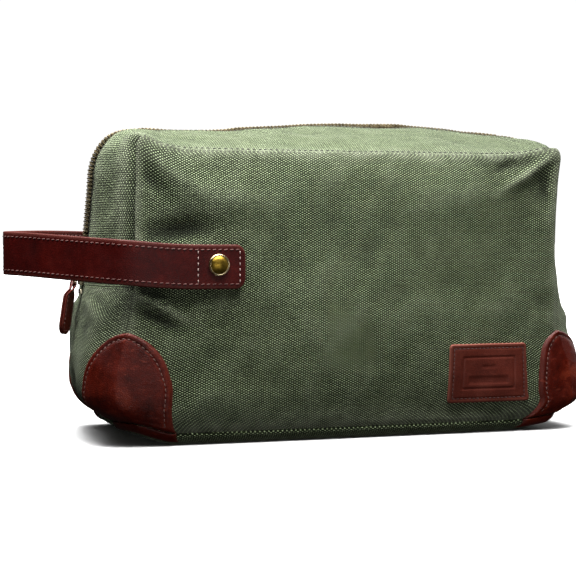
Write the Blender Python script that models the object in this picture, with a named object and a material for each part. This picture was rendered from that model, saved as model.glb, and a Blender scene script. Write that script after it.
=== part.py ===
"""Toiletry bag: boxy waxed-canvas wash bag with leather corners, a leather side
handle, a riveted strap anchor and a zip that runs over the top and down both ends.

Frame: metres, +Z up, +X along the bag (the handle loop is at -X), front at -Y.
The origin is the middle of the flat base.  Sizes below are in millimetres.
"""
import bpy
import bmesh
import math
from mathutils import Vector

for _o in list(bpy.data.objects):
    bpy.data.objects.remove(_o, do_unlink=True)

# ----------------------------------------------------------------- dimensions
MM = 0.001
GAP = 0.3                 # clearance between pieces that touch
CANVAS = 1.4              # canvas with its backing
Z_BASE_SEAM = 7.0         # seam between the walls and the base
Z_TOP_SEAM = 166.0        # seam between the walls and the top gusset, hinge height
Z_ZIP_END = 88.0          # where the zip ends on both end walls
TOP_SEAM_Y = 61.5         # half depth at the top seam, hinge line
MITRE = 0.2               # seam clearance on each side of a mitred corner
ZIP_SLOT = 3.3            # half width of the slot between the canvas edges
TOP_SPLIT_L = 112.0       # the opening part of the top gusset ends here
TOP_SPLIT_R = 118.0
Z_CORNER = 148.0          # the zip starts to turn over the top here

# (height, value) tables, interpolated smoothly
CX = [(0, 114.0), (7, 126.0), (10, 130.0), (15, 134.5), (22, 138.0), (30, 139.5), (40, 139.0),
      (50, 137.0), (60, 134.8), (80, 131.5), (95, 130.2), (110, 130.0), (170, 130.0)]
CY = [(0, 44.0), (7, 55.5), (10, 57.0), (15, 58.5), (22, 59.5), (40, 60.3), (60, 61.0),
      (95, 61.5), (170, 61.5)]
BF = [(0, 48.0), (7, 59.5), (12, 61.0), (20, 62.6), (30, 64.0), (45, 65.2), (60, 65.7), (80, 65.7),
      (100, 65.5), (130, 64.5), (150, 62.9), (166, 61.5), (170, 61.5)]
AE_L = [(0, 121.0), (7, 134.0), (10, 138.5), (14, 143.0), (18, 146.5), (23, 149.5), (30, 152.0),
        (45, 152.8), (60, 151.6), (75, 149.0), (88, 146.8), (148, 141.2)]
AE_R = [(0, 121.0), (7, 134.0), (10, 139.0), (14, 143.5), (18, 147.0), (23, 150.0), (30, 152.5),
        (45, 153.4), (60, 152.4), (75, 150.6), (88, 149.4), (148, 146.2)]
QE = [(0, 4.5), (50, 4.5), (88, 2.6), (148, 1.8)]       # end wall roundness
PF = [(0, 6.0), (40, 5.0), (100, 3.2), (166, 2.5)]      # front wall roundness
SKEW = [(0, 1.0), (10, 3.0), (25, 7.0), (45, 7.0), (70, 2.5), (88, 0.0), (170, 0.0)]
RIDGE = [(-130, 176.5), (-115, 180.4), (-96, 180.8), (-72, 181.2), (-48, 182.5), (-28, 183.8), (7, 185.6),
         (55, 186.6), (82, 185.6), (100, 183.4), (122, 180.8), (140, 176.0)]

STRAP_W = 25.0            # handle leather width
STRAP_T = 3.2             # two plies
STRAP_Y = 67.3            # centre plane of the handle legs
STRAP_Z = 100.5           # centre height at the anchors
STRAP_FREE_X = -101.4     # free leg starts here
ANCHOR_X = (-97.6, -68.0)
HANDLE_PIVOT_X = -98.0
RIVET_X = -83.5
REAR_RISE = 5.0           # the rear end of the handle is sewn on a little higher
RIVET_Z = 101.6
RIVET_R = 6.1
POST_R = 1.6
LABEL = (58.3, 110.3, 18.8, 54.0)
SLIDER_Z = 94.5
PULL_LEN = 30.7
PULL_HALF_W = 6.3
PULL_T = 2.8


# ------------------------------------------------------------------ utilities
def table(tab, z):
    """Monotone cubic reading of a (height, value) table."""
    if z <= tab[0][0]:
        return tab[0][1]
    if z >= tab[-1][0]:
        return tab[-1][1]
    k = 0
    while z > tab[k + 1][0]:
        k += 1

    def slope(i):
        if i <= 0 or i >= len(tab) - 1:
            j = max(0, min(i, len(tab) - 2))
            return (tab[j + 1][1] - tab[j][1]) / (tab[j + 1][0] - tab[j][0])
        a = (tab[i][1] - tab[i - 1][1]) / (tab[i][0] - tab[i - 1][0])
        b = (tab[i + 1][1] - tab[i][1]) / (tab[i + 1][0] - tab[i][0])
        return 0.0 if a * b <= 0 else 2 * a * b / (a + b)
    x0, y0 = tab[k]
    x1, y1 = tab[k + 1]
    h = x1 - x0
    t = (z - x0) / h
    m0, m1 = slope(k), slope(k + 1)
    return ((2 * t ** 3 - 3 * t ** 2 + 1) * y0 + (t ** 3 - 2 * t ** 2 + t) * h * m0
            + (-2 * t ** 3 + 3 * t ** 2) * y1 + (t ** 3 - t ** 2) * h * m1)


def material(name, rgb, rough, metal=0.0):
    m = bpy.data.materials.new(name)
    m.use_nodes = True
    b = m.node_tree.nodes["Principled BSDF"]
    b.inputs["Base Color"].default_value = (rgb[0], rgb[1], rgb[2], 1)
    b.inputs["Roughness"].default_value = rough
    b.inputs["Metallic"].default_value = metal
    m.diffuse_color = (rgb[0], rgb[1], rgb[2], 1)
    return m


PALETTE = {
    "canvas": ((0.105, 0.135, 0.075), 0.9, 0.0),
    "lining": ((0.25, 0.21, 0.15), 0.85, 0.0),
    "leather": ((0.13, 0.032, 0.018), 0.45, 0.0),
    "strap": ((0.075, 0.016, 0.011), 0.4, 0.0),
    "brass": ((0.33, 0.25, 0.10), 0.35, 1.0),
    "tape": ((0.06, 0.07, 0.045), 0.9, 0.0),
}


def add(name, verts, faces, kind, smooth=False):
    """One object from millimetre vertices; faces are turned to point out."""
    me = bpy.data.meshes.new(name)
    me.from_pydata([(v[0] * MM, v[1] * MM, v[2] * MM) for v in verts], [], faces)
    bm = bmesh.new()
    bm.from_mesh(me)
    bmesh.ops.remove_doubles(bm, verts=bm.verts, dist=2e-6)
    bmesh.ops.triangulate(bm, faces=[f for f in bm.faces if len(f.verts) == 4])
    bmesh.ops.recalc_face_normals(bm, faces=bm.faces)
    if bm.calc_volume(signed=True) < 0:
        bmesh.ops.reverse_faces(bm, faces=bm.faces)
    bm.to_mesh(me)
    bm.free()
    if smooth:
        me.shade_smooth()
        me.set_sharp_from_angle(angle=math.radians(35))
    rgb, rough, metal = PALETTE[kind]
    me.materials.append(material(name + "_mat", rgb, rough, metal))
    ob = bpy.data.objects.new(name, me)
    bpy.context.scene.collection.objects.link(ob)
    return ob


def sheet_solid(name, outer, inner, kind):
    """Closed solid between two point grids of the same size."""
    nu, nv = len(outer), len(outer[0])
    verts = [p for row in outer for p in row] + [p for row in inner for p in row]
    off = nu * nv

    def o(i, j):
        return i * nv + j

    def n(i, j):
        return off + i * nv + j
    faces = []
    for i in range(nu - 1):
        for j in range(nv - 1):
            faces.append((o(i, j), o(i + 1, j), o(i + 1, j + 1), o(i, j + 1)))
            faces.append((n(i, j), n(i, j + 1), n(i + 1, j + 1), n(i + 1, j)))
    for i in range(nu - 1):
        faces.append((o(i, 0), n(i, 0), n(i + 1, 0), o(i + 1, 0)))
        faces.append((o(i, nv - 1), o(i + 1, nv - 1), n(i + 1, nv - 1), n(i, nv - 1)))
    for j in range(nv - 1):
        faces.append((o(0, j), o(0, j + 1), n(0, j + 1), n(0, j)))
        faces.append((o(nu - 1, j), n(nu - 1, j), n(nu - 1, j + 1), o(nu - 1, j + 1)))
    return add(name, verts, faces, kind)


def span(a, b, n):
    return [a + (b - a) * i / (n - 1) for i in range(n)]


# --------------------------------------------------------- the bag's surfaces
def corner(z, d=0.0):
    """Half length and half depth of the corner seam at a height, inset by d."""
    return table(CX, z) - d, table(CY, z) - d


def front(x, z, d=0.0):
    """Half depth of the front or back wall at x (positive number)."""
    cx, cy = corner(z, d)
    bf = table(BF, z) - d
    return cy + (bf - cy) * max(0.0, 1 - abs(x / cx) ** table(PF, z))


def end(side, y, z, d=0.0):
    """x of an end wall at depth y.  side is -1 at the handle end."""
    cx, cy = corner(z, d)
    ae = table(AE_L if side < 0 else AE_R, z) - d
    t = max(-1.0, min(1.0, y / cy))
    out = cx + (ae - cx) * (1 - abs(t) ** table(QE, z))
    out -= table(SKEW, z) * t * (1 - t ** 4)
    return side * out


Z_ROWS = [Z_BASE_SEAM + GAP / 2, 10.5, 15.0, 21.0, 30.0, 42.0, 56.0, 72.0, Z_ZIP_END - GAP / 2]
Z_ROWS_HIGH = [112.0, 140.0, Z_TOP_SEAM - GAP / 2]


def wall_y(hand, d_out, d_in, x0, x1, zs, nx):
    """Outer and inner grids of a front (hand -1) or back (hand +1) wall patch;
    x0 and x1 are shares of the half length."""
    grids = []
    for d in (d_out, d_in):
        rows = []
        for z in zs:
            cx, _ = corner(z, d)
            lo, hi = x0 * (cx - MITRE), x1 * (cx - MITRE)
            rows.append([Vector((x, hand * front(x, z, d), z)) for x in span(lo, hi, nx)])
        grids.append(rows)
    return grids


def wall_x(side, d_out, d_in, zs, ny):
    grids = []
    for d in (d_out, d_in):
        rows = []
        for z in zs:
            _, cy = corner(z, d)
            rows.append([Vector((end(side, y, z, d), y, z)) for y in span(-(cy - MITRE), cy - MITRE, ny)])
        grids.append(rows)
    return grids


def ring(z, d, nx=12, ny=8):
    """Closed horizontal outline of the bag at a height, inset by d."""
    cx, cy = corner(z, d)
    pts = [Vector((x, -front(x, z, d), z)) for x in span(-cx, cx, nx)[:-1]]
    pts += [Vector((end(1, y, z, d), y, z)) for y in span(-cy, cy, ny)[:-1]]
    pts += [Vector((x, front(x, z, d), z)) for x in span(cx, -cx, nx)[:-1]]
    pts += [Vector((end(-1, y, z, d), y, z)) for y in span(cy, -cy, ny)[:-1]]
    return pts


def zip_x(side, z):
    """x of the zip's centre line on an end wall, straight from end to corner."""
    a, b = (146.8, 141.2) if side < 0 else (149.4, 146.2)
    return a + (b - a) * (z - Z_ZIP_END) / (Z_CORNER - Z_ZIP_END)


def gusset(side, hand, t, v, d=0.0):
    """Zip gusset of one end, one half.  t 0..1 climbs the straight end,
    1..2 turns over the corner.  v is 0 at the zip and 1 at the seam."""
    xs = TOP_SPLIT_L if side < 0 else TOP_SPLIT_R
    top = table(RIDGE, side * xs)
    if t <= 1.0:
        z = Z_ZIP_END + GAP / 2 + (Z_CORNER - Z_ZIP_END - GAP / 2) * t
        cx, cy = corner(z, d)
        g = Vector((zip_x(side, z) - d, 0, z))
        f = Vector((cx, cy - MITRE, z))
        n = Vector((1, 0, 0))
    else:
        a = (t - 1.0) * math.pi / 2
        gx, gz = zip_x(side, Z_CORNER) - d, top - d
        g = Vector((xs + (gx - xs) * math.cos(a) ** 0.8, 0, Z_CORNER + (gz - Z_CORNER) * math.sin(a) ** 0.8))
        cx, cy = corner(Z_CORNER, d)
        zt = Z_TOP_SEAM + GAP / 2
        if a <= math.pi / 4 + 1e-9:
            f = Vector((cx, cy - MITRE, Z_CORNER + (zt - Z_CORNER) * math.tan(a)))
        else:
            f = Vector((xs + (cx - xs) * math.tan(math.pi / 2 - a), cy - MITRE, zt))
        n = Vector((math.cos(a), 0, math.sin(a)))
    p = g.lerp(f, v) + n * (2.6 * math.sin(math.pi * v))
    return Vector((side * p.x, hand * p.y, p.z))


def top_gusset(hand, x, v, d=0.0):
    """Opening half of the top gusset; v is 0 at the zip and 1 at the hinge seam."""
    g = Vector((x, 0, table(RIDGE, x) - d))
    f = Vector((x, TOP_SEAM_Y - d - MITRE, Z_TOP_SEAM + GAP / 2))
    p = g.lerp(f, v) + Vector((0, 0, 2.6 * math.sin(math.pi * v)))
    return Vector((p.x, hand * p.y, p.z))


def gusset_piece(name, side, hand, vs, d_out, d_in, nt_a, nt_b, kind):
    ts = span(0.0, 1.0, nt_a) + span(1.0, 2.0, nt_b)[1:]
    grids = [[[gusset(side, hand, t, v, d) for v in vs] for t in ts] for d in (d_out, d_in)]
    return sheet_solid(name, grids[0], grids[1], kind)


def top_piece(name, hand, vs, d_out, d_in, nx, kind):
    xs = span(-TOP_SPLIT_L + 0.4, TOP_SPLIT_R - 0.4, nx)
    grids = [[[top_gusset(hand, x, v, d) for v in vs] for x in xs] for d in (d_out, d_in)]
    return sheet_solid(name, grids[0], grids[1], kind)


def vy(y, d=0.0):
    """Share v of a gusset at a distance y from the zip's centre."""
    return y / (TOP_SEAM_Y - d - MITRE)


# ------------------------------------------------------------- canvas walls
HALVES = ((-1, "front"), (1, "rear"))
SIDES = ((-1, "left"), (1, "right"))

walls = {}
for hand, label in ((-1, "front_panel"), (1, "back_panel")):
    o_, i_ = wall_y(hand, 0.0, CANVAS, -1, 1, Z_ROWS + Z_ROWS_HIGH, 13)
    walls[hand] = sheet_solid(label, o_, i_, "canvas")

for side, word in SIDES:
    o_, i_ = wall_x(side, 0.0, CANVAS, Z_ROWS, 9)
    sheet_solid(word + "_end_panel", o_, i_, "canvas")

# base: a shallow tray with a flat underside
loops = []
heights = [Z_BASE_SEAM - GAP / 2, 4.4, 2.0, 0.6, 0.0]


def under(z):
    """How far the base has turned in under the seam at a height."""
    return 11.5 * (1 - math.sqrt(max(0.0, 1 - (1 - z / Z_BASE_SEAM) ** 2)))


for z in reversed(heights):
    loops.append([Vector((p.x, p.y, z)) for p in ring(Z_BASE_SEAM, under(z))])
for z in heights:
    zi = max(z, CANVAS)
    loops.append([Vector((p.x, p.y, zi)) for p in ring(Z_BASE_SEAM, under(z) + CANVAS)])
verts = [p for lp in loops for p in lp]
n_ring = len(loops[0])
faces = []
for k in range(len(loops) - 1):
    for i in range(n_ring):
        j = (i + 1) % n_ring
        faces.append((k * n_ring + i, k * n_ring + j, (k + 1) * n_ring + j, (k + 1) * n_ring + i))
faces.append(tuple(reversed(range(n_ring))))
faces.append(tuple((len(loops) - 1) * n_ring + i for i in range(n_ring)))
add("bottom_panel", verts, faces, "canvas")

# zip gusset, tape and chain, in two halves each
V_CANVAS = [vy(ZIP_SLOT), vy(7.6), vy(12.0), 0.45, 0.72, 1.0]
V_TAPE = [vy(0.65), vy(ZIP_SLOT), vy(7.6), vy(12.0)]
V_CHAIN = [vy(0.65), vy(2.9)]
TAPE_D = (CANVAS + 0.6, CANVAS + 1.2)
for side, word in SIDES:
    for hand, half in HALVES:
        gusset_piece("gusset_%s_%s" % (word, half), side, hand, V_CANVAS, 0.0, CANVAS, 3, 7, "canvas")
        gusset_piece("zip_tape_%s_%s" % (word, half), side, hand, V_TAPE, TAPE_D[0], TAPE_D[1], 3, 7, "tape")
        gusset_piece("zip_chain_%s_%s" % (word, half), side, hand, V_CHAIN, -0.9, CANVAS, 3, 7, "brass")
for hand, half in HALVES:
    top_piece("gusset_top_" + half, hand, V_CANVAS, 0.0, CANVAS, 12, "canvas")
    top_piece("zip_tape_top_" + half, hand, V_TAPE, TAPE_D[0], TAPE_D[1], 12, "tape")
    top_piece("zip_chain_top_" + half, hand, V_CHAIN, -0.9, CANVAS, 12, "brass")


# lining: front, back, base and the two ends, hanging free of the canvas
L0, L1 = 3.5, 4.1
for hand, half in HALVES:
    o_, i_ = wall_y(hand, L0, L1, -0.992, 0.992, [9.0, 16.0, 30.0, 56.0, 84.0, 120.0, 160.0], 9)
    sheet_solid("lining_" + half, o_, i_, "lining")
for side, word in SIDES:
    o_, i_ = wall_x(side, L0, L1, [9.0, 16.0, 30.0, 56.0, 84.0], 7)
    sheet_solid("lining_" + word, o_, i_, "lining")
lo = [Vector((p.x, p.y, 3.8)) for p in ring(Z_BASE_SEAM, 4.4)]
hi = [Vector((p.x, p.y, 4.4)) for p in ring(Z_BASE_SEAM, 4.4)]
nr = len(lo)
add("lining_base", lo + hi,
    [(i, (i + 1) % nr, nr + (i + 1) % nr, nr + i) for i in range(nr)]
    + [tuple(reversed(range(nr))), tuple(nr + i for i in range(nr))], "lining")


# ------------------------------------------------------- leather corner pieces
PATCH_D = (-2.1, -0.9)     # outer and inner faces, proud of the canvas
EDGE = [(7, 20.5), (15, 25.0), (30, 28.2), (43, 24.0), (53, 17.5), (58, 12.5), (62, 5.0)]


def corner_patch(name, side, hand, d_out, d_in, z_rows):
    """Leather wrapped round a bottom corner, cut to a rounded arch."""
    grids = []
    for d in (d_out, d_in):
        rows = []
        for z in z_rows:
            cx, cy = corner(max(z, Z_BASE_SEAM), d + (under(z) if z < Z_BASE_SEAM else 0.0))
            dd = d + (under(z) if z < Z_BASE_SEAM else 0.0)
            zz = max(z, Z_BASE_SEAM)
            w = table(EDGE, zz)
            row = []
            for k in span(-1.0, 1.0, 13):
                if k <= 0:
                    x = cx + k * w
                    row.append(Vector((side * x, hand * front(x, zz, dd), z)))
                else:
                    y = cy - k * w
                    row.append(Vector((end(side, hand * y, zz, dd), hand * y, z)))
            rows.append(row)
        grids.append(rows)
    return sheet_solid(name, grids[0], grids[1], "leather")


for side, word in SIDES:
    for hand, half in HALVES:
        corner_patch("corner_patch_%s_%s" % (word, half), side, hand, PATCH_D[0], PATCH_D[1],
                     [7.4, 10.5, 15, 21, 30, 42, 51, 56, 61])
        corner_patch("corner_base_%s_%s" % (word, half), side, hand, PATCH_D[0], PATCH_D[1], [2.6, 4.4, 6.6])


# --------------------------------------------------------------- label patch
def label():
    x0, x1, z0, z1 = LABEL
    grids = []
    for d in (-1.9, -0.45):
        grids.append([[Vector((x, -front(x, z, d), z)) for x in span(x0, x1, 7)] for z in span(z0, z1, 5)])
    return sheet_solid("label_patch", grids[0], grids[1], "leather")


label()

# -------------------------------------------------------------------- handle
LEG = [(STRAP_FREE_X, -STRAP_Y), (-112, -67.2), (-125, -66.5), (-136, -62.6), (-147, -54.3),
       (-158, -43.4), (-169, -31.0), (-178, -20.0), (-184.6, -11.6), (-189.2, -5.6), (-191.2, 0.0)]
HANDLE_RISE = [(0.0, 0.1), (0.05, 0.7), (0.128, 2.3), (0.27, 4.6), (0.5, 7.5), (0.73, 8.3), (0.87, 8.0), (0.95, 6.2),
                     (1.0, REAR_RISE + 0.1)]


def handle_path():
    """Centre line of the handle: x, y, z from the front anchor round to the rear."""
    pts = [Vector((x, y)) for x, y in LEG] + [Vector((x, -y)) for x, y in reversed(LEG[:-1])]
    lengths = [0.0]
    for a, b in zip(pts, pts[1:]):
        lengths.append(lengths[-1] + (b - a).length)
    return [(p, STRAP_Z + table(HANDLE_RISE, s / lengths[-1]), s) for p, s in zip(pts, lengths)]


HANDLE = handle_path()


def ribbon(name, off_out, off_in, kind, half_w):
    """Strip of leather along the handle path between two offsets from its centre."""
    grids = []
    n = len(HANDLE)
    for off in (off_out, off_in):
        rows = []
        for i, (p, z, s) in enumerate(HANDLE):
            a = HANDLE[max(0, i - 1)][0]
            b = HANDLE[min(n - 1, i + 1)][0]
            t = (b - a).normalized()
            nrm = Vector((t.y, -t.x))          # outward, away from the bag
            if nrm.dot(p - Vector((-100, 0))) < 0:
                nrm = -nrm
            q = p + nrm * off
            rows.append([Vector((q.x, q.y, z + w)) for w in (-half_w, 0.0, half_w)])
        grids.append(rows)
    return sheet_solid(name, grids[0], grids[1], kind)


ribbon("strap_loop", STRAP_T / 2, 0.15, "strap", STRAP_W / 2)
ribbon("strap_backing", -0.15, -STRAP_T / 2, "strap", STRAP_W / 2 - 0.1)


def anchor(name, hand):
    """Sewn, riveted end of the handle: a strip with rounded free corners and a hole."""
    x0, x1 = ANCHOR_X
    h, r = STRAP_W / 2, 6.0
    out = [(x0, -h), (x1 - r, -h)]
    out += [(x1 - r + r * math.sin(math.radians(a)), -h + r - r * math.cos(math.radians(a))) for a in (18, 36, 54, 72, 90)]
    out += [(x1 - r + r * math.cos(math.radians(a)), h - r + r * math.sin(math.radians(a))) for a in (0, 18, 36, 54, 72, 90)]
    out += [(x0, h)]
    n = len(out)
    verts = []
    for y in (STRAP_Y + STRAP_T / 2, STRAP_Y - STRAP_T / 2):
        verts += [(x, hand * y, STRAP_Z + (REAR_RISE if hand > 0 else 0.0) + z) for x, z in out]
    faces = [tuple(range(n)), tuple(reversed(range(n, 2 * n)))]
    faces += [(i, (i + 1) % n, n + (i + 1) % n, n + i) for i in range(n)]
    return add(name, verts, faces, "strap")


def turned(name, profile, centre, hand, kind, steps=16):
    """Solid of revolution about the y axis; profile is (radius, distance out)."""
    verts, faces = [], []
    cols = []
    for r, h in profile:
        if r < 1e-6:
            verts.append((centre[0], centre[1] + hand * h, centre[2]))
            cols.append([len(verts) - 1])
        else:
            start = len(verts)
            for k in range(steps):
                a = 2 * math.pi * k / steps
                verts.append((centre[0] + r * math.cos(a), centre[1] + hand * h, centre[2] + r * math.sin(a)))
            cols.append(list(range(start, start + steps)))
    m = len(cols)
    closed = len(cols[0]) > 1 and len(cols[-1]) > 1
    pairs = list(zip(cols, cols[1:])) + ([(cols[-1], cols[0])] if closed else [])
    for a, b in pairs:
        for k in range(steps):
            j = (k + 1) % steps
            if len(a) == 1:
                faces.append((a[0], b[k], b[j]))
            elif len(b) == 1:
                faces.append((a[k], a[j], b[0]))
            else:
                faces.append((a[k], a[j], b[j], b[k]))
    return add(name, verts, faces, kind, smooth=True)


for hand, half in HALVES:
    anc = anchor("strap_anchor_" + half, hand)
    face = STRAP_Y + STRAP_T / 2
    rz = RIVET_Z + (REAR_RISE if hand > 0 else 0.0)
    # cap and shank in one turned piece, washer inside the canvas
    turned("rivet_" + half,
           [(0, 3.1), (2.4, 2.95), (4.2, 2.45), (5.3, 1.75), (RIVET_R, 1.0), (RIVET_R, GAP),
            (POST_R, GAP), (POST_R, -(STRAP_T + 3.8)), (0, -(STRAP_T + 3.8))],
           (RIVET_X, hand * face, rz), hand, "brass")
    inner = front(RIVET_X, rz, CANVAS)
    turned("rivet_washer_" + half,
           [(POST_R + 0.3, -0.4), (5.0, -0.4), (5.0, -1.3), (POST_R + 0.3, -1.3)],
           (RIVET_X, hand * inner, rz), hand, "brass")
    bpy.ops.mesh.primitive_cylinder_add(vertices=20, radius=(POST_R + 0.35) * MM, depth=24 * MM,
                                        location=(RIVET_X * MM, hand * 66 * MM, rz * MM),
                                        rotation=(math.pi / 2, 0, 0))
    cut = bpy.context.object
    cut.name = "cutter_rivet_" + half
    cut.hide_render = True
    cut.display_type = "WIRE"
    for target in (anc, walls[hand]):
        mod = target.modifiers.new("rivet hole", "BOOLEAN")
        mod.operation = "DIFFERENCE"
        mod.solver = "EXACT"
        mod.object = cut


# ------------------------------------------------- slider, pull tab and pull
ZIP_DIR = Vector((146.8 - 141.2, 0, Z_CORNER - Z_ZIP_END)).normalized()    # up the left end's chain
ZIP_OUT = Vector((-ZIP_DIR.z, 0, ZIP_DIR.x))                               # away from the bag
SLIDER_AT = Vector((-zip_x(-1, SLIDER_Z), 0, SLIDER_Z))


def local(u, y, n, origin=SLIDER_AT, du=ZIP_DIR, dn=ZIP_OUT):
    return origin + du * u + Vector((0, y, 0)) + dn * n


def block_loft(name, rings, kind, place=local):
    """Closed solid through stacked outlines, each a list of (u, y, n)."""
    n = len(rings[0])
    verts = [place(*p) for rg in rings for p in rg]
    faces = [tuple(range(n)), tuple(reversed(range((len(rings) - 1) * n, len(rings) * n)))]
    for k in range(len(rings) - 1):
        for i in range(n):
            j = (i + 1) % n
            faces.append((k * n + i, k * n + j, (k + 1) * n + j, (k + 1) * n + i))
    return add(name, verts, faces, kind)


def prism_object(name, outline_un, y0, y1, kind):
    m = len(outline_un)
    verts = [local(u, y0, n) for u, n in outline_un] + [local(u, y1, n) for u, n in outline_un]
    faces = [tuple(range(m)), tuple(reversed(range(m, 2 * m)))]
    faces += [(i, (i + 1) % m, m + (i + 1) % m, m + i) for i in range(m)]
    return add(name, verts, faces, kind)


def plate(y_shape, n0, n1):
    """Outline in the u-y plane between two distances from the chain."""
    verts = [local(u, y, n0) for u, y in y_shape] + [local(u, y, n1) for u, y in y_shape]
    m = len(y_shape)
    faces = [tuple(range(m)), tuple(reversed(range(m, 2 * m)))]
    faces += [(i, (i + 1) % m, m + (i + 1) % m, m + i) for i in range(m)]
    return verts, faces


TOP_SHAPE = [(-4.6, -3.0), (-4.6, 3.0), (-1.0, 3.9), (2.4, 4.4), (4.4, 3.4), (4.9, 1.2), (4.9, -1.2),
             (4.4, -3.4), (2.4, -4.4), (-1.0, -3.9)]
v1, f1 = plate(TOP_SHAPE, 1.3, 2.5)
body = add("slider_body", v1, f1, "brass")
extra = []
v2, f2 = plate(TOP_SHAPE, -5.2, -4.1)
extra.append(add("cutter_bottom_plate", v2, f2, "brass"))
extra.append(prism_object("cutter_core", [(0.6, -4.6), (4.2, -4.6), (4.2, 1.9), (0.6, 1.9)], -0.3, 0.3, "brass"))
ARCH = [(-1.7, 2.0), (-1.7, 4.6), (-1.1, 5.4), (3.1, 5.4), (3.7, 4.6), (3.7, 2.0), (2.8, 2.0), (2.8, 4.2),
        (2.5, 4.5), (-0.5, 4.5), (-0.8, 4.2), (-0.8, 2.0)]
extra.append(prism_object("cutter_bridge", ARCH, -1.1, 1.1, "brass"))
for tool in extra:
    tool.hide_render = True
    tool.display_type = "WIRE"
    mod = body.modifiers.new("join " + tool.name, "BOOLEAN")
    mod.operation = "UNION"
    mod.solver = "EXACT"
    mod.object = tool

# pull tab: a rectangular ring hung on the bridge, leaning out from the chain
TAB_PIVOT = local(1.0, 0, 3.5)
LEAN = math.radians(20)
TAB_DOWN = -ZIP_DIR * math.cos(LEAN) + ZIP_OUT * math.sin(LEAN)
TAB_OUT = ZIP_OUT * math.cos(LEAN) + ZIP_DIR * math.sin(LEAN)


def tab_ring():
    outer = [(-0.6, -3.3), (-0.6, 3.3), (0.4, 4.1), (5.6, 4.1), (6.4, 3.3), (6.4, -3.3), (5.6, -4.1), (0.4, -4.1)]
    hole = [(0.6, -2.6), (0.6, 2.6), (1.0, 3.0), (4.9, 3.0), (5.3, 2.6), (5.3, -2.6), (4.9, -3.0), (1.0, -3.0)]

    def at(s, y, n):
        return TAB_PIVOT + TAB_DOWN * s + Vector((0, y, 0)) + TAB_OUT * n
    m = len(outer)
    verts = [at(s, y, n) for n in (-0.5, 0.5) for (s, y) in outer + hole]
    faces = []
    for i in range(m):
        j = (i + 1) % m
        faces.append((i, j, m + j, m + i))
        faces.append((2 * m + i, 3 * m + i, 3 * m + j, 2 * m + j))
        faces.append((i, 2 * m + i, 2 * m + j, j))
        faces.append((m + i, m + j, 3 * m + j, 3 * m + i))
    return add("pull_tab", verts, faces, "brass")


tab_ring()

# leather pull: folded round the lower bar of the tab, hanging down
PULL_AT = TAB_PIVOT + TAB_DOWN * 5.85
PULL_DIR = Vector((-math.sin(math.radians(8.3)), 0, -math.cos(math.radians(8.3))))
PULL_OUT = Vector((-math.cos(math.radians(8.3)), 0, math.sin(math.radians(8.3))))


def pull():
    half = PULL_T / 2

    def at(s, y, n):
        return PULL_AT + PULL_DIR * s + Vector((0, y, 0)) + PULL_OUT * n
    # neck: a tunnel round the bar
    hole = [(0.95 * math.cos(math.radians(a)), 0.95 * math.sin(math.radians(a))) for a in range(0, 360, 45)]
    outer = [(1.85 * math.cos(math.radians(a)), 1.85 * math.sin(math.radians(a))) for a in range(90, 271, 30)]
    neck = [(4.6, -half + 0.2)] + [(2.2, -1.6)] + [(s, n) for s, n in reversed(outer)] + [(2.2, 1.6), (4.6, half - 0.2)]
    hw = 2.35
    m = len(neck)
    verts = [at(s, -hw, n) for s, n in neck] + [at(s, hw, n) for s, n in neck]
    faces = [tuple(range(m)), tuple(reversed(range(m, 2 * m)))]
    faces += [(i, (i + 1) % m, m + (i + 1) % m, m + i) for i in range(m)]
    neck_ob = add("cutter_neck", verts, faces, "leather")
    k = len(hole)
    verts = [at(s, -6, n) for s, n in hole] + [at(s, 6, n) for s, n in hole]
    faces = [tuple(range(k)), tuple(reversed(range(k, 2 * k)))]
    faces += [(i, (i + 1) % k, k + (i + 1) % k, k + i) for i in range(k)]
    tunnel = add("cutter_tunnel", verts, faces, "leather")
    w = PULL_HALF_W
    shape = [(3.4, -2.6), (5.0, -4.2), (8.0, -4.9), (PULL_LEN - w, -w)]
    shape += [(PULL_LEN - w + w * math.sin(math.radians(a)), -w * math.cos(math.radians(a))) for a in (22, 45, 67)]
    shape += [(PULL_LEN, 0)]
    shape += [(s, -y) for s, y in reversed(shape[:-1])]
    m = len(shape)
    verts = [at(s, y, -half) for s, y in shape] + [at(s, y, half) for s, y in shape]
    faces = [tuple(range(m)), tuple(reversed(range(m, 2 * m)))]
    faces += [(i, (i + 1) % m, m + (i + 1) % m, m + i) for i in range(m)]
    ob = add("leather_pull", verts, faces, "leather")
    for tool, op in ((neck_ob, "UNION"), (tunnel, "DIFFERENCE")):
        tool.hide_render = True
        tool.display_type = "WIRE"
        mod = ob.modifiers.new(op.lower(), "BOOLEAN")
        mod.operation = op
        mod.solver = "EXACT"
        mod.object = tool
    return ob


pull()

# zip stops: small metal bars across the chain's two lower ends
for side, word in SIDES:
    zb = Z_ZIP_END - 2.6
    x_in = abs(end(side, 0, zb)) + 0.35
    verts = []
    for x in (x_in, x_in + 1.3):
        for y, z in ((-3.0, zb - 1.4), (3.0, zb - 1.4), (3.0, zb + 1.4), (-3.0, zb + 1.4)):
            verts.append((side * x, y, z))
    add("zip_stop_" + word, verts,
        [(0, 1, 2, 3), (7, 6, 5, 4), (0, 4, 5, 1), (1, 5, 6, 2), (2, 6, 7, 3), (3, 7, 4, 0)], "brass")
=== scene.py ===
import math

import bmesh
import bpy
import numpy as np
from mathutils import Matrix, Vector


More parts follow.
